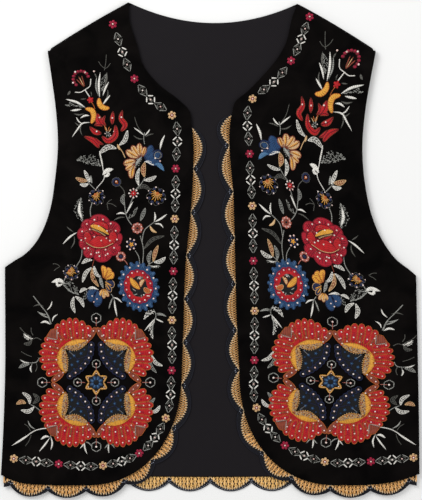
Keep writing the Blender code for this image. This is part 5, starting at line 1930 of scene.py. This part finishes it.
bead([(134.6, 348.4), (136.6, 341.6), (131.0, 345.0)], 1.2, 0.9)

# %% [markdown]
# ## The medallion
#
# The big square flower is mirrored about both of its middles, a traditional way to fill a
# front. One quarter is worked out in its own millimetres from the centre, across and
# down, and sewn four times. Its parts, from the outside in: two fans of red fingers, a
# wedge in the corner, two gold almonds, brown bands that meet in a point, a navy leaf
# with a beaded edge, and one star in the middle of everything.

# %% One quarter of the medallion
MEDALLION = np.array((132.0, 441.7))
TOP_FINGERS = (
    ((9.4, -50.0), (8.4, -58.0), (10.2, -66.0)),
    ((15.4, -49.6), (15.4, -61.0), (17.0, -71.6)),
    ((21.6, -49.6), (22.8, -62.0), (24.0, -74.6)),
    ((28.0, -49.4), (30.2, -61.0), (31.0, -74.8)),
    ((34.0, -48.8), (37.4, -59.0), (38.0, -72.6)),
    ((39.6, -47.6), (43.6, -55.6), (44.6, -68.0)),
)
SIDE_FINGERS = (
    ((41.6, -45.4), (50.0, -48.0), (60.0, -50.4)),
    ((42.6, -39.4), (52.6, -41.4), (63.8, -43.0)),
    ((43.6, -32.8), (54.4, -34.4), (66.2, -34.6)),
    ((43.8, -26.4), (54.6, -26.6), (66.0, -26.0)),
    ((43.0, -20.0), (53.4, -19.2), (63.4, -17.0)),
    ((41.4, -14.0), (49.6, -12.8), (57.6, -8.8)),
)
# Each fan: its middle, then its edge
TOP_FAN = (
    (26.0, -56.0), (7.4, -46.0), (8.6, -62.0), (17.0, -68.0), (27.0, -71.4),
    (38.0, -69.0), (46.0, -60.0), (44.0, -44.0), (24.0, -44.0),
)
SIDE_FAN = (
    (52.0, -30.0), (42.0, -46.0), (54.0, -51.0), (61.0, -46.0), (63.4, -34.0),
    (62.4, -22.0), (56.0, -9.4), (40.0, -9.0), (42.0, -28.0),
)
CORNER_WEDGE = (
    (45.0, -49.4), (45.0, -55.0), (47.4, -62.6), (52.6, -61.0), (57.4, -53.4),
    (51.0, -50.0),
)
# Each almond: its own line, then the start and end of the band outside it
ALMONDS = (
    (((9.6, -47.4), (24.0, -43.6), (38.4, -41.0)), (0.8, -63.4), (10.6, -48.0)),
    (((38.8, -41.4), (39.4, -27.0), (35.4, -11.0)), (51.4, -0.8), (37.8, -12.0)),
)
ALMOND_WIDE, ALMOND_FULL = 11.4, 0.72
NAVY_LEAF = (
    (33.0, -37.6), (33.4, -24.0), (33.4, -12.0), (28.7, -7.0), (20.0, -13.6),
    (12.0, -22.0), (6.0, -32.6), (5.4, -43.0), (14.0, -43.6), (24.0, -39.4),
)
LEAF_MIDDLE = (22.0, -27.0)
SCATTERED_PER_MM2 = 0.22
BEADED_BAND = ((5.6, -43.6), (6.8, -32.6), (12.6, -22.0), (21.6, -13.0), (30.4, -7.4))


def quarter(across, down):
    """Sews one quarter, with across and down as 1 or -1: each place in it is the
    medallion's centre plus the quarter's own place times those signs."""

    def at(points):
        return MEDALLION + np.asarray(points, float) * (across, down)

    for middle, *edge in (TOP_FAN, SIDE_FAN):
        filled("red", at(middle), at(edge), 0.3)
    disc("red", at((41.0, -42.6)), 5.2, rise=0.5)
    for row, points in enumerate(TOP_FINGERS + SIDE_FINGERS):
        line = at(points)
        petal("red", "copper", line, 8.6, 0.4, 1.15, over=0.3 + 0.1 * (row % 2), rim_radius=0.4)
        inner = line[[0, 1]] * 0.85 + line[[1, 2]] * 0.15
        if row % 2:
            satin("brown", inner, 3.4, 0.7, over=0.75)
            speckled_over("copper", line * 0.9 + line[[1, 1, 1]] * 0.1, 3.0, 1.3, seed=row)
        else:
            satin("crimson", inner, 1.4, 0.8, over=1.0)
        spots = evenly(smooth(line, 60), 10)
        bead(spots[[1, 5, 8] if row % 2 else [3, 8]], 1.2, 1.2)
    filled("brown", at((50.0, -55.0)), at(CORNER_WEDGE), over=0.6)
    rim_cord("copper", at(CORNER_WEDGE + CORNER_WEDGE[:1]), 0.36, 0.8)
    roots = at([(45.2, -50.0), (45.4, -49.4)])
    bars("pink", roots, at([(45.0, -62.6), (57.6, -51.4)]), 1.7, over=1.2)
    bars("silver", roots, at([(45.8, -62.0), (57.0, -52.4)]), 0.8, over=1.6)

    for points, *band_ends in ALMONDS:
        line = at(points)
        satin("gold", line, ALMOND_WIDE, ALMOND_FULL, rise=0.8, over=0.3)
        inward = at(LEAF_MIDDLE) - line[1]
        inward = inward / np.linalg.norm(inward)
        inner = line + inward * np.array([0.4, 2.4, 0.4])[:, None]
        satin("brown", inner, 6.6, 0.6, rise=0.4, over=0.9)
        for row, thread in enumerate(("cream", "gold", "cream", "silver")):
            speckled_over(thread, inner, 6.8, 1.35, seed=int(abs(points[1][0])) + row)
        edge = round_edge_of(*half_widths(line, ALMOND_WIDE, ALMOND_FULL))
        rim_cord("gold", edge, 0.36, 0.5)
        teeth = evenly(smooth(line + inward * np.array([0.6, 5.9, 0.6])[:, None], 60), 12)[1:-1]
        bars("cream", teeth, teeth + inward * 1.6, 0.7, over=0.8)
        start, end = at(band_ends)
        petal("brown", "copper", (start, (start + end) / 2, end), 6.6, 0.4, 1.0, 0.4)
        bead(start + (end - start) * np.array([(0.24,), (0.62,), (0.96,)]), 1.15, 1.1)

    filled("black", at(LEAF_MIDDLE), at(NAVY_LEAF), 0.5)
    for place in ((25.6, -31.0), (17.6, -33.6), (28.2, -20.4), (21.4, -24.4)):
        for tip in round_places(at(place), 2.2, 2.2, 5):
            bars("blue", [at(place)], [tip], 1.0, 0.5, 0.5)
        disc("sky", at(place), 0.8, over=0.7)
    for place in ((13.6, -38.0), (29.6, -28.0), (25.6, -15.6), (30.0, -36.0)):
        disc("blue", at(place), 1.1, lobes=5, depth=0.3, over=0.4)
    for tip in ((31.4, -36.0), (12.0, -30.0), (20.6, -19.6)):
        rim_cord("navy", at([LEAF_MIDDLE, tip]), 0.4, 0.5)
    rim_cord("silver", at([(31.4, -36.0), (25.0, -30.4)]), 0.28, 0.8)
    band = smooth(at(BEADED_BAND), 120)
    for place in evenly(band, 9):
        disc("black", place, 3.6, rise=0.8, over=0.25)
        rim_cord("navy", round_places(place, 3.4, 3.4, 24)[np.arange(25) % 24], 0.5, 0.6)
    bead(evenly(band, 6), 1.35, 1.1)


def speckled_over(thread, points, width, over, seed):
    """Seed stitches scattered on top of a patch, along its line and either side of it."""
    line = evenly(smooth(points, 80), 80)
    chance = np.random.default_rng(seed)
    count = int(along(line)[-1] * width * SCATTERED_PER_MM2)
    i = chance.integers(6, 75, count)
    v = chance.uniform(-0.8, 0.8, count)
    half = width / 2 * np.sin(np.pi * i / 80) ** 0.6
    middles = line[i] + sideways(line)[i] * (half * v)[:, None]
    seeds(thread, middles, chance.uniform(0.0, np.pi, count), 1.5, 0.26, over)


for across in (1.0, -1.0):
    for down in (1.0, -1.0):
        quarter(across, down)

# %% The star in the middle, and the little hexagons round it
STAR_POINTS = 6
STAR_OUTER, STAR_INNER = 14.2, 8.4
corner = np.arange(2 * STAR_POINTS + 1)
turn = corner * np.pi / STAR_POINTS - np.pi / 2
reach = np.where(corner % 2, STAR_INNER, STAR_OUTER)
star = MEDALLION + reach[:, None] * pointing(turn).T
filled("black", MEDALLION, star[:-1] * 0.9 + MEDALLION * 0.1, 0.4)
bars("gold", star[:-1], star[1:], 2.0, 0.8, 0.25)
rim_cord("cream", star, 0.34, 0.9)
spokes("blue", MEDALLION, 2.4, 7.8, 8, 3.6, 22.5, over=0.4)
spokes("sky", MEDALLION, 3.4, 6.4, 8, 1.3, 22.5, over=1.0)
disc("black", MEDALLION, 3.2, over=0.9)
bead(round_places(MEDALLION, 10.4, 10.4, 6, 30.0), 0.9, 0.7)

HEXAGONS = ((0.0, 21.6, 5.0), (21.6, 0.0, 5.0), (0.0, 74.4, 6.0), (62.6, 0.0, 6.0))
for x, y, radius in HEXAGONS:
    for sign in (1.0, -1.0):
        centre = MEDALLION + sign * np.array((x, y))
        corners = round_places(centre, radius, radius, 6, 30.0)
        bars("silver", corners, np.roll(corners, -1, axis=0), 1.1)
        way = (MEDALLION - centre) / np.linalg.norm(MEDALLION - centre)
        bars("pink", [centre + way * 1.4], [centre + way * (radius + 4.0)], 0.8)
        bead([centre], 1.6)

# %% The chart is sewn onto both fronts, one piece for each thread and side
embroidery = {"right": [], "left": []}
for side in ("right", "left"):
    for thread, material in THREAD_BOX.items():
        shapes = [
            (on_the_front(side, points), uv, wrap)
            for points, uv, wrap in work["chart"].get(thread, [])
        ]
        shapes += work[side].get(thread, [])
        if shapes:
            name = f"{side}_embroidery_{thread}"
            piece = sewn(name, shapes, material, lambda points: on_velvet(side, points))
            embroidery[side].append(piece)
    count = sum(len(piece.data.polygons) for piece in embroidery[side]) * 2
    print(side, "front's embroidery:", count, "triangles")

# %% Each cloth's cut printed, with the size it was cut to


def covered(points):
    """Area of a grid in plan: half the cross product of each cell's diagonals, added up."""
    flat = points[..., :2]
    one, other = flat[1:, 1:] - flat[:-1, :-1], flat[1:, :-1] - flat[:-1, 1:]
    return np.abs(one[..., 0] * other[..., 1] - one[..., 1] * other[..., 0]).sum() / 2


def declare(piece, size, area, rests_on, with_pieces=()):
    """Prints a sheet's cut, from a width and length and an area in millimetres."""
    area = float(area) * MM**2
    print(f"{piece.name}: cut {size[0]:.0f} x {size[1]:.0f} mm, {area * 1e4:.0f} cm2")


def in_plan(points):
    """The width and length of a grid in plan, and the area that it covers."""
    return np.ptp(points[..., :2].reshape(-1, 2), axis=0), covered(points)


declare(back, *in_plan(back_points(FINE)), [])
declare(back_lining, *in_plan(lining_points), [back])
for side, front in fronts.items():
    under_it = [laces[f"{side}_front_lace"][0], back_lining]
    declare(front, *in_plan(front_points(side, FINE)), under_it, embroidery[side])
for name, (ground, on_it, plan, under) in laces.items():
    reach = plan["gold"] - under
    area = (reach[1:] + reach[:-1]) @ np.diff(plan["run"]) / 2
    size = ((plan["depth"] - under).max(), plan["run"][-1])
    declare(ground, size, area, [] if name == "back_lace" else [back_lining], on_it)
